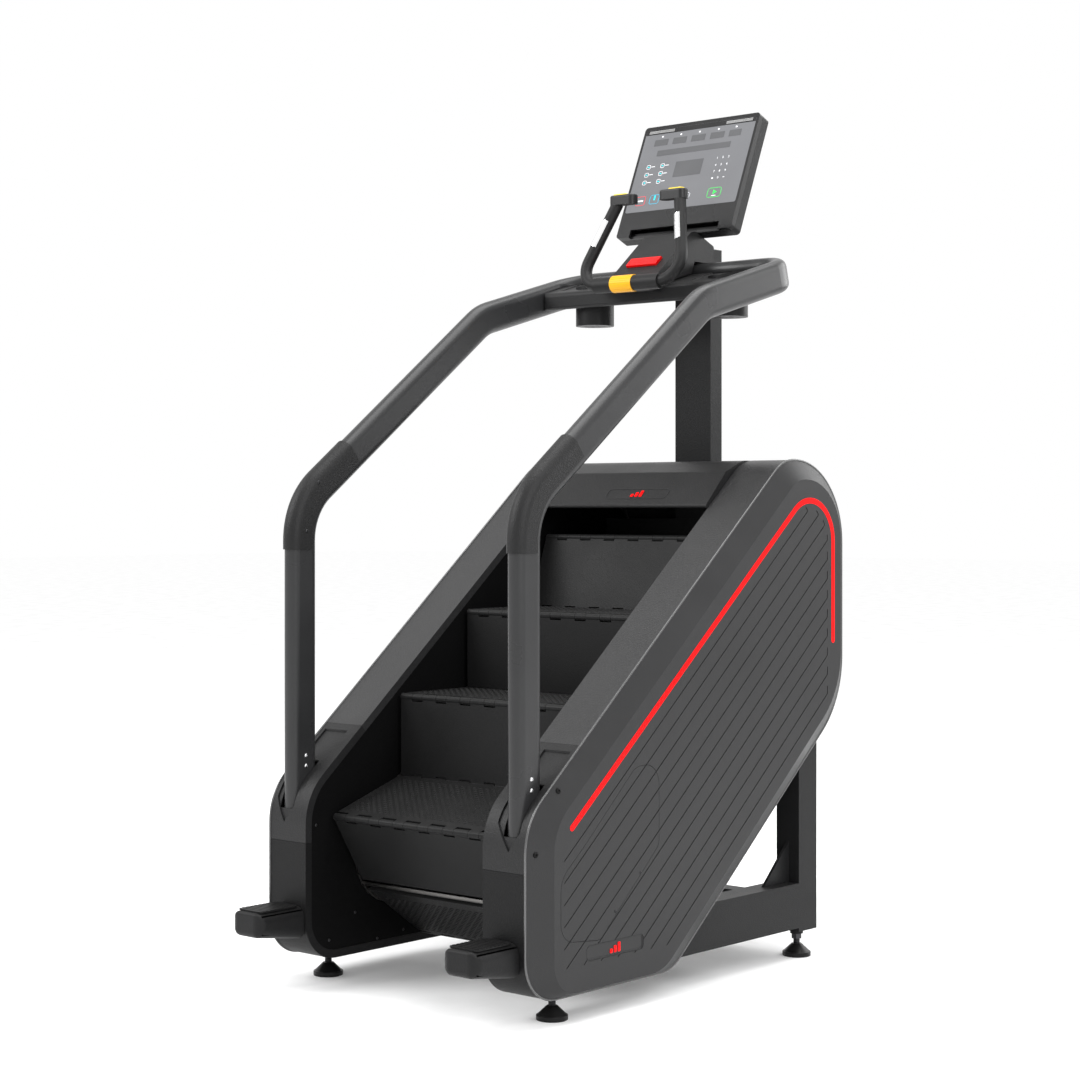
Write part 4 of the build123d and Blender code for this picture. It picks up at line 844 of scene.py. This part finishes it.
def scatter_screws(name, tree, head, points, scale, finish, body):
    """One group of like screws, given as pairs of place and outward direction."""
    mesh = bpy.data.meshes.new(name + "_points")
    mesh.from_pydata([tuple(p) for p, _ in points], [], [])
    facing = mesh.attributes.new("facing", "FLOAT_VECTOR", "POINT")
    facing.data.foreach_set("vector", [c for _, normal in points for c in normal])
    values = {"Head": head, "Scale": scale, "Material": MATERIALS[finish]}
    placed(run_tree(name, tree, values, mesh), body)


class STAIR_OT_fasteners(bpy.types.Operator):
    """Put socket screws where the covers, posts and sleeves are fixed, and threads on the feet"""

    bl_idname = "stair.fasteners"
    bl_label = "Fasteners"

    def execute(self, context):
        sizes = context.scene.stair_fasteners
        head = screw_head(sizes.head_radius, sizes.head_height)
        tree = screws_tree()
        plain = []
        bright = []
        for island in node_islands("cover_screws"):
            middle = (island.min(0) + island.max(0)) / 2
            on_post = middle[2] > POSTS_ABOVE
            outer = abs(middle[0]) > (POST_MIDDLE_X if on_post else COVER_X)
            side = math.copysign(1, middle[0])
            facing = side if outer else -side
            base = island[:, 0].min() if facing > 0 else island[:, 0].max()
            place = (Vector((base, middle[1], middle[2])), Vector((facing, 0, 0)))
            (bright if on_post else plain).append(place)
        scatter_screws("cover_screw_heads", tree, head, plain, 1.0, "screw_black", "frame")
        scatter_screws("post_screw_heads", tree, head, bright, 1.35, "bright_screw", "frame")
        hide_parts("cover_screws")
        self.skin_screws(tree, head)
        bpy.data.objects.remove(head)
        self.threads(sizes)
        return {"FINISHED"}

    def skin_screws(self, tree, head):
        """Screws that go into the skins themselves, found by looking at each skin from outside."""
        panels = node_tree("side_panels")
        sleeves = node_tree("elbow_sleeves")
        low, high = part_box("side_panels")
        depth, height = high.y - low.y, high.z - low.z
        on_bevel = [(low.y + part_y * depth, low.z + part_z * height) for part_y, part_z in PLUG_PARTS]
        slow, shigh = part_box("elbow_sleeves")
        on_sleeve = [
            (slow.y + LOWER_SLEEVE_SCREW[0], slow.z + LOWER_SLEEVE_SCREW[1]),
            (slow.y + UPPER_SLEEVE_SCREW[0], shigh.z - UPPER_SLEEVE_SCREW[1]),
        ]
        plugs, screws = [], []
        for side in (1, -1):
            for y, z in on_bevel:
                plugs.append(surface_point(panels, (side * 0.6, y, z), (-side, 0, 0)))
            for y, z in on_sleeve:
                screws.append(surface_point(sleeves, (side * 0.2, y, z), (side, 0, 0)))
        scatter_screws("bevel_plugs", tree, head, plugs, 1.8, "plug_black", "frame")
        scatter_screws("sleeve_screw_heads", tree, head, screws, 1.2, "screw_black", "frame")

    def threads(self, sizes):
        """The bare thread between each levelling foot's cone and its nut."""
        tree = thread_tree()
        for foot in ("foot_front_left", "foot_front_right", "foot_rear_left", "foot_rear_right"):
            low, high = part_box(foot)
            middle = (low + high) / 2
            nut_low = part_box("foot_locknuts")[0].z
            start = low.z + FOOT_CONE_HEIGHT
            values = {
                "Turns": (nut_low - start) / sizes.thread_pitch,
                "Radius": FOOT_STEM_RADIUS,
                "Height": nut_low - start,
                "Crest": sizes.thread_depth,
                "Place": Vector((middle.x, middle.y, start)),
                "Material": MATERIALS["nut_steel"],
            }
            placed(run_tree(foot + "_thread", tree, values), foot)


def node_islands(node):
    """The separate solids of a node, as arrays of their vertices."""
    work = bmesh.new()
    work.from_mesh(frame["nodes"][node].data)
    bmesh.ops.remove_doubles(work, verts=work.verts, dist=1e-6)
    islands = []
    seen = set()
    for first in work.verts:
        if first.index in seen:
            continue
        pile, found = [first], []
        seen.add(first.index)
        while pile:
            vertex = pile.pop()
            found.append(vertex.co[:])
            for edge in vertex.link_edges:
                other = edge.other_vert(vertex)
                if other.index not in seen:
                    seen.add(other.index)
                    pile.append(other)
        islands.append(np.array(found, float))
    work.free()
    return islands


def film_place(node):
    """Turn a place on the console film, in mm from its middle, into a place in the frame."""
    middle, turn, _ = plate_frame(node, (-1, 0.4))
    up = Vector((0, math.cos(turn), math.sin(turn)))
    if up.z < 0:
        up = -up
    out = Vector((0, -abs(up.z), abs(up.y)))

    def put(x, y, z):
        return middle + Vector((x * MM, 0, 0)) + up * (y * MM) + out * z

    return put


KEY_WINDOWS = (-124.8, -61.2, 2.9, 67.0, 126.5)
LEFT_KEYS = tuple((x, y) for x in (-146.5, -98.0) for y in (10.5, -14.0, -38.5))
ROUND_KEYS = ((-35.0, -93.0), (18.0, -93.0))
WHITE = (0.72, 0.72, 0.74)
RED = (0.75, 0.03, 0.05)
CYAN = (0.02, 0.42, 0.62)
GREEN = (0.03, 0.70, 0.08)
KEYPAD_X = (88.5, 107.0, 126.0)
KEYPAD_Y = (13.0, -9.0, -28.5, -49.0)


class STAIR_OT_console_face(bpy.types.Operator):
    """Print the windows, key outlines, symbols and numbers on the console's film"""

    bl_idname = "stair.console_face"
    bl_label = "Console face"

    def execute(self, context):
        sizes = context.scene.stair_console
        self.put = film_place("console_overlay")
        self.height = sizes.print_height
        self.line = sizes.key_line / MM
        self.key = sizes.key_size / MM
        self.windows()
        self.top_band()
        self.outlined_keys(sizes.glow)
        self.symbols(sizes.glow)
        self.keypad(sizes.glow)
        return {"FINISHED"}

    def plate(self, x, y, width, height, radius, lift=0.0):
        outline = shifted(rounded_outline(width, height, radius), x, y)
        return slab(outline, self.put, lift, lift + self.height)

    def key_ring(self, x, y, width, height, radius):
        outer = shifted(rounded_outline(width, height, radius), x, y)
        inner = shifted(rounded_outline(width - 2 * self.line, height - 2 * self.line, radius * 0.7), x, y)
        return ring(outer, inner, self.put, 0.0, self.height)

    def windows(self):
        """The dark display windows: five small, one long and one at the middle."""
        shapes = [self.plate(x, 86.0, 47.0 if x < 120 else 40.0, 19.5, 1.0) for x in KEY_WINDOWS]
        shapes.append(self.plate(-4.5, 51.8, 250.0, 17.6, 1.0))
        shapes.append(self.plate(-5.5, -6.5, 94.0, 48.0, 1.0))
        self.print_marks("display_windows", shapes, MATERIALS["window_grey"])

    def top_band(self):
        """The dark strip along the film's top with a pale notice at each end."""
        strip = [self.plate(0.0, 121.5, 373.0, 15.0, 1.0)]
        placed(join_shapes("top_strip", strip, MATERIALS["bezel_black"]), "frame")
        lines = []
        for side in (-1, 1):
            for y in (118.5, 121.5, 124.5):
                lines.append(self.plate(side * 132.0, y, 88.0, 1.2, 0.5, self.height))
        self.print_marks("notice_lines", lines, MATERIALS["notice_pale"])

    def outlined_keys(self, glow):
        white = [(x, y, self.key, self.key, 4.2) for x, y in LEFT_KEYS]
        white += [(x, y, 17.0, 17.0, 8.2) for x, y in ROUND_KEYS]
        groups = {
            "white": (white, WHITE),
            "red": ([(-142.5, -95.5, 32.0, 28.0, 6.0)], RED),
            "cyan": ([(-95.0, -94.5, 32.0, 28.0, 6.0)], CYAN),
            "green": ([(108.0, -94.0, 45.0, 29.0, 7.0)], GREEN),
        }
        for label, (keys, tint) in groups.items():
            finish = glowing_print("key_line_" + label, tint, glow)
            shapes = [self.key_ring(*key) for key in keys]
            self.print_marks("key_outlines_" + label, shapes, finish)

    def symbols(self, glow):
        """Small generic marks: a bar or dot on each key, a pause and play mark, plus and minus."""
        white = [self.plate(x, 104.5, 5.5, 4.5, 2.0) for x in KEY_WINDOWS]
        white += [self.plate(x + 15.5, y, 13.0, 1.6, 0.6) for x, y in LEFT_KEYS]
        white += [self.plate(-142.5, -95.5, 17.0, 4.0, 0.8)]
        white += [self.plate(-35.0, -93.0, 7.0, 1.3, 0.4), self.plate(18.0, -93.0, 7.0, 1.3, 0.4)]
        white += [self.plate(18.0, -93.0, 1.3, 7.0, 0.4), self.plate(108.0, -103.5, 14.0, 1.8, 0.5)]
        self.print_marks("key_marks_white", white, glowing_print("print_white", (0.75, 0.75, 0.77), glow))
        cyan = [self.plate(x, y, 6.5, 3.4, 1.6) for x, y in LEFT_KEYS]
        cyan += [self.plate(-95.0, -91.0, 5.0, 13.0, 2.2)]
        cyan += [self.plate(-95.0, -84.5, 4.5, 4.5, 2.2, self.height)]
        self.print_marks("key_marks_cyan", cyan, glowing_print("print_cyan", (0.02, 0.55, 0.62), glow))
        arrow = [(104.0, -99.0), (116.0, -92.5), (104.0, -86.0)]
        green = [slab(arrow, self.put, 0.0, self.height)]
        self.print_marks("key_mark_green", green, glowing_print("print_green", GREEN, glow))

    def print_marks(self, name, shapes, finish):
        placed(join_shapes(name, shapes, finish), "frame")

    def keypad(self, glow):
        """The number keys, one to nine, then clear, zero and enter marks."""
        finish = glowing_print("print_digits", (0.68, 0.68, 0.70), glow)
        shapes = []
        for row, y in enumerate(KEYPAD_Y[:3]):
            for column, x in enumerate(KEYPAD_X):
                shapes.append(self.digit(str(3 * row + column + 1), x, y))
        shapes.append(self.digit("0", KEYPAD_X[1], KEYPAD_Y[3]))
        shapes.append(self.plate(KEYPAD_X[0], KEYPAD_Y[3], 5.5, 4.0, 1.2))
        shapes.append(self.plate(KEYPAD_X[2], KEYPAD_Y[3], 5.5, 1.6, 0.6))
        self.print_marks("keypad_digits", shapes, finish)

    def digit(self, text, x, y):
        """One numeral as a thin closed plate."""
        curve = bpy.data.curves.new("numeral", "FONT")
        curve.body = text
        curve.align_x = "CENTER"
        curve.align_y = "CENTER"
        curve.size = 9.0
        curve.extrude = 0.5
        curve.resolution_u = 3
        thing = bpy.data.objects.new("numeral", curve)
        bpy.context.scene.collection.objects.link(thing)
        graph = bpy.context.evaluated_depsgraph_get()
        mesh = bpy.data.meshes.new_from_object(thing.evaluated_get(graph), depsgraph=graph)
        bpy.data.objects.remove(thing)
        corners = [self.put(x + v.co.x, y + v.co.y, (v.co.z + 0.5) * self.height) for v in mesh.vertices]
        faces = [list(p.vertices) for p in mesh.polygons]
        bpy.data.meshes.remove(mesh)
        return corners, faces


# a side badge's middle, as parts of the panel's depth and height
SIDE_BADGE_PARTS = (0.230, 0.0753)
# a point straight in front of the hood badge's middle
HOOD_BADGE_SEEN_FROM = (0.045, -0.5, 1.196)


class STAIR_OT_badges(bpy.types.Operator):
    """Put a thin outline frame in each badge recess, with three rising bars"""

    bl_idname = "stair.badges"
    bl_label = "Badges"

    def execute(self, context):
        tree = node_tree("side_panels")
        low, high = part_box("side_panels")
        middle_y = low.y + SIDE_BADGE_PARTS[0] * (high.y - low.y)
        middle_z = low.z + SIDE_BADGE_PARTS[1] * (high.z - low.z)
        bars, plates = [], []
        for side in (1, -1):
            face = surface_point(tree, (side * 0.6, middle_y, middle_z), (-side, 0, 0))[0].x

            def put(x, y, z, side=side, face=face):
                return Vector((face + side * z, middle_y + side * x * MM, middle_z + y * MM))

            outer = rounded_outline(202.0, 33.0, 10.0)
            inner = rounded_outline(198.0, 29.0, 8.0)
            plates.append(ring(outer, inner, put, 0.0, 0.0009))
            bars += self.rising_bars(put)
        front = self.hood_front()
        outer = rounded_outline(202.0, 36.0, 11.0)
        inner = rounded_outline(199.0, 33.0, 9.5)
        plates.append(ring(outer, inner, front, 0.0, 0.0007))
        bars += self.rising_bars(front)
        placed(join_shapes("badge_frames", plates, MATERIALS["panel_charcoal"]), "frame")
        placed(join_shapes("badge_bars", bars, MATERIALS["stripe_red"]), "frame")
        return {"FINISHED"}


    def rising_bars(self, put):
        """Three upright bars, each taller than the last."""
        bars = []
        for step in range(3):
            height = 10.0 + 6.0 * step
            outline = rounded_outline(9.0, height, 2.0)
            bars.append(slab(shifted(outline, -14.0 + 14.0 * step, height / 2 - 11.0), put, 0.0, 0.0012))
        return bars

    def hood_front(self):
        """Turns a place on the hood's sloping front, in mm from the badge, into a place in the frame."""
        hood = node_tree("top_hood")
        low, normal = surface_point(hood, HOOD_BADGE_SEEN_FROM, (0, 1, 0))
        along = Vector((0, -normal.z, normal.y))
        if along.z < 0:
            along = -along

        def put(x, y, z):
            return low + Vector((x * MM, 0, 0)) + along * (y * MM) + normal * z

        return put


class STAIR_OT_rim_beads(bpy.types.Operator):
    """Run a soft rounded bead round the edge where each side panel meets its covers"""

    bl_idname = "stair.rim_beads"
    bl_label = "Rim beads"

    def execute(self, context):
        tree = bead_tree()
        radius = context.scene.stair_finishes.bead_radius
        for side, label in ((1, "right"), (-1, "left")):
            mesh = bpy.data.meshes.new("rim_line_" + label)
            loop = rim_loop("side_panels", side)
            n = len(loop)
            mesh.from_pydata(loop, [(i, (i + 1) % n) for i in range(n)], [])
            # the bead's finish is lighter than the panel it edges: a painted highlight
            values = {"Radius": radius, "Material": MATERIALS["bead_painted_highlight"]}
            placed(run_tree("rim_bead_" + label, tree, values, mesh), "frame")
        return {"FINISHED"}


def rim_loop(node, side):
    """The outer outline of a side panel where it meets the edge covers, in order."""
    work = bmesh.new()
    work.from_mesh(frame["nodes"][node].data)
    bmesh.ops.remove_doubles(work, verts=work.verts, dist=1e-6)
    reach = min(v.co.x * side for v in work.verts if v.co.x * side > 0)
    flat = {v for v in work.verts if abs(v.co.x * side - reach) < 1e-5}
    edges = [e for e in work.edges if e.verts[0] in flat and e.verts[1] in flat and one_flat_side(e, flat)]
    neighbours = {}
    for edge in edges:
        first, second = edge.verts
        neighbours.setdefault(first, []).append(second)
        neighbours.setdefault(second, []).append(first)
    loops = []
    left = set(neighbours)
    while left:
        vertex = left.pop()
        loop = [vertex]
        while True:
            ahead = [v for v in neighbours[loop[-1]] if v in left]
            if not ahead:
                break
            loop.append(ahead[0])
            left.discard(ahead[0])
        loops.append(loop)
    outer = max(loops, key=lambda loop: max(v.co.y for v in loop) - min(v.co.y for v in loop))
    places = [tuple(v.co) for v in outer]
    work.free()
    return places


def one_flat_side(edge, flat):
    """Whether just one of the faces beside an edge lies in the rim's plane."""
    return sum(all(v in flat for v in face.verts) for face in edge.link_faces) == 1


def bead_tree():
    """A round bead along a closed line."""
    inputs = [("Radius", "NodeSocketFloat", 0.002), ("Material", "NodeSocketMaterial", None)]
    tree = new_tree("rim_bead", inputs)
    nodes, links = tree.nodes, tree.links
    given = nodes.new("NodeGroupInput")
    line = nodes.new("GeometryNodeMeshToCurve")
    even = nodes.new("GeometryNodeResampleCurve")
    even.mode = "LENGTH"
    even.inputs["Length"].default_value = 0.012
    circle = nodes.new("GeometryNodeCurvePrimitiveCircle")
    circle.inputs["Resolution"].default_value = 12
    tube = nodes.new("GeometryNodeCurveToMesh")
    smooth = nodes.new("GeometryNodeSetShadeSmooth")
    links.new(given.outputs["Geometry"], line.inputs["Mesh"])
    links.new(line.outputs["Curve"], even.inputs["Curve"])
    links.new(given.outputs["Radius"], circle.inputs["Radius"])
    links.new(even.outputs["Curve"], tube.inputs["Curve"])
    links.new(circle.outputs["Curve"], tube.inputs["Profile Curve"])
    links.new(tube.outputs["Mesh"], smooth.inputs["Geometry"])
    finish_tree(tree, given, smooth.outputs["Geometry"])
    return tree


CAMERA_PLACE = (3.6824, -4.2216, 1.1588)
CAMERA_SHIFT_Y = -0.0295
# each light's name, place, size and power
LIGHTS = (
    ("key", (-3.2, -4.2, 4.6), 3.2, 260),
    ("right_fill", (4.6, -1.2, 3.2), 3.0, 120),
    ("top", (0.5, 0.6, 5.2), 3.4, 150),
    ("rear", (1.5, 4.6, 3.0), 3.0, 90),
)
LIT_POINT = (0.0, 0.0, 0.9)
FLOOR_GLOW = 0.09


class STAIR_OT_stage(bpy.types.Operator):
    """Floor, studio lights and the camera"""

    bl_idname = "stair.stage"
    bl_label = "Stage"

    def execute(self, context):
        settings = context.scene.stair_stage
        half = settings.floor_size / 2
        white = (0.93, 0.93, 0.93)
        finish = moulded("floor_white", white, 0.9, grain=3, depth=0.0, dust=0.0, speck=0.0, gloss=0.0)
        glow = finish.node_tree.nodes["Principled BSDF"].inputs
        glow["Emission Color"].default_value = (1.0, 1.0, 1.0, 1.0)
        glow["Emission Strength"].default_value = FLOOR_GLOW
        corners = [(-half, -half, 0), (half, -half, 0), (half, half, 0), (-half, half, 0)]
        floor = mesh_object("floor", corners, [[0, 1, 2, 3]], finish)
        world = bpy.data.worlds.new("studio")
        world.use_nodes = True
        world.node_tree.nodes["Background"].inputs["Color"].default_value = (1.0, 1.0, 1.0, 1.0)
        world.node_tree.nodes["Background"].inputs["Strength"].default_value = 1.0
        context.scene.world = world
        for name, place, size, power in LIGHTS:
            self.light(name, place, size, power * settings.light)
        self.camera(settings)
        context.scene.view_settings.view_transform = "Standard"
        return {"FINISHED"}

    def light(self, name, place, size, power):
        data = bpy.data.lights.new(name, "AREA")
        data.size = size
        data.energy = power
        lamp = bpy.data.objects.new(name, data)
        lamp.location = place
        aim = Vector(LIT_POINT) - Vector(place)
        lamp.rotation_euler = aim.to_track_quat("-Z", "Y").to_euler()
        bpy.context.scene.collection.objects.link(lamp)

    def camera(self, settings):
        data = bpy.data.cameras.new("camera")
        data.lens = settings.focal_length
        data.sensor_width = 36.0
        data.shift_y = CAMERA_SHIFT_Y
        data.clip_end = 60.0
        thing = bpy.data.objects.new("camera", data)
        thing.location = CAMERA_PLACE
        thing.rotation_euler = (math.pi / 2, 0.0, settings.azimuth)
        bpy.context.scene.collection.objects.link(thing)
        bpy.context.scene.camera = thing


# ---------------------------------------------------------------- add-on


OPERATORS = (
    STAIR_OT_finishes,
    STAIR_OT_tread_grip,
    STAIR_OT_fasteners,
    STAIR_OT_console_face,
    STAIR_OT_badges,
    STAIR_OT_rim_beads,
    STAIR_OT_stage,
)
GROUPS_OF_SETTINGS = {
    "stair_finishes": STAIR_PG_finishes,
    "stair_grip": STAIR_PG_grip,
    "stair_fasteners": STAIR_PG_fasteners,
    "stair_console": STAIR_PG_console,
    "stair_stage": STAIR_PG_stage,
}


class STAIR_PT_panel(bpy.types.Panel):
    """Lists the pieces and their sizes"""

    bl_idname = "STAIR_PT_panel"
    bl_label = "Stair climber"
    bl_space_type = "VIEW_3D"
    bl_region_type = "UI"
    bl_category = "Stair climber"

    def draw(self, context):
        for name, group in GROUPS_OF_SETTINGS.items():
            box = self.layout.box()
            box.label(text=group.__doc__)
            for field in group.__annotations__:
                box.prop(getattr(context.scene, name), field)
        for operator in OPERATORS:
            self.layout.operator(operator.bl_idname)


CLASSES = (*GROUPS_OF_SETTINGS.values(), *OPERATORS, STAIR_PT_panel)


def register():
    for item in CLASSES:
        bpy.utils.register_class(item)
    for name, group in GROUPS_OF_SETTINGS.items():
        setattr(bpy.types.Scene, name, bpy.props.PointerProperty(type=group))


def unregister():
    for name in GROUPS_OF_SETTINGS:
        delattr(bpy.types.Scene, name)
    for item in reversed(CLASSES):
        bpy.utils.unregister_class(item)


def main():
    register()
    bpy.ops.stair.finishes()
    bpy.ops.stair.tread_grip()
    bpy.ops.stair.fasteners()
    bpy.ops.stair.console_face()
    bpy.ops.stair.badges()
    bpy.ops.stair.rim_beads()
    bpy.ops.stair.stage()


if __name__ == "__main__":
    main()
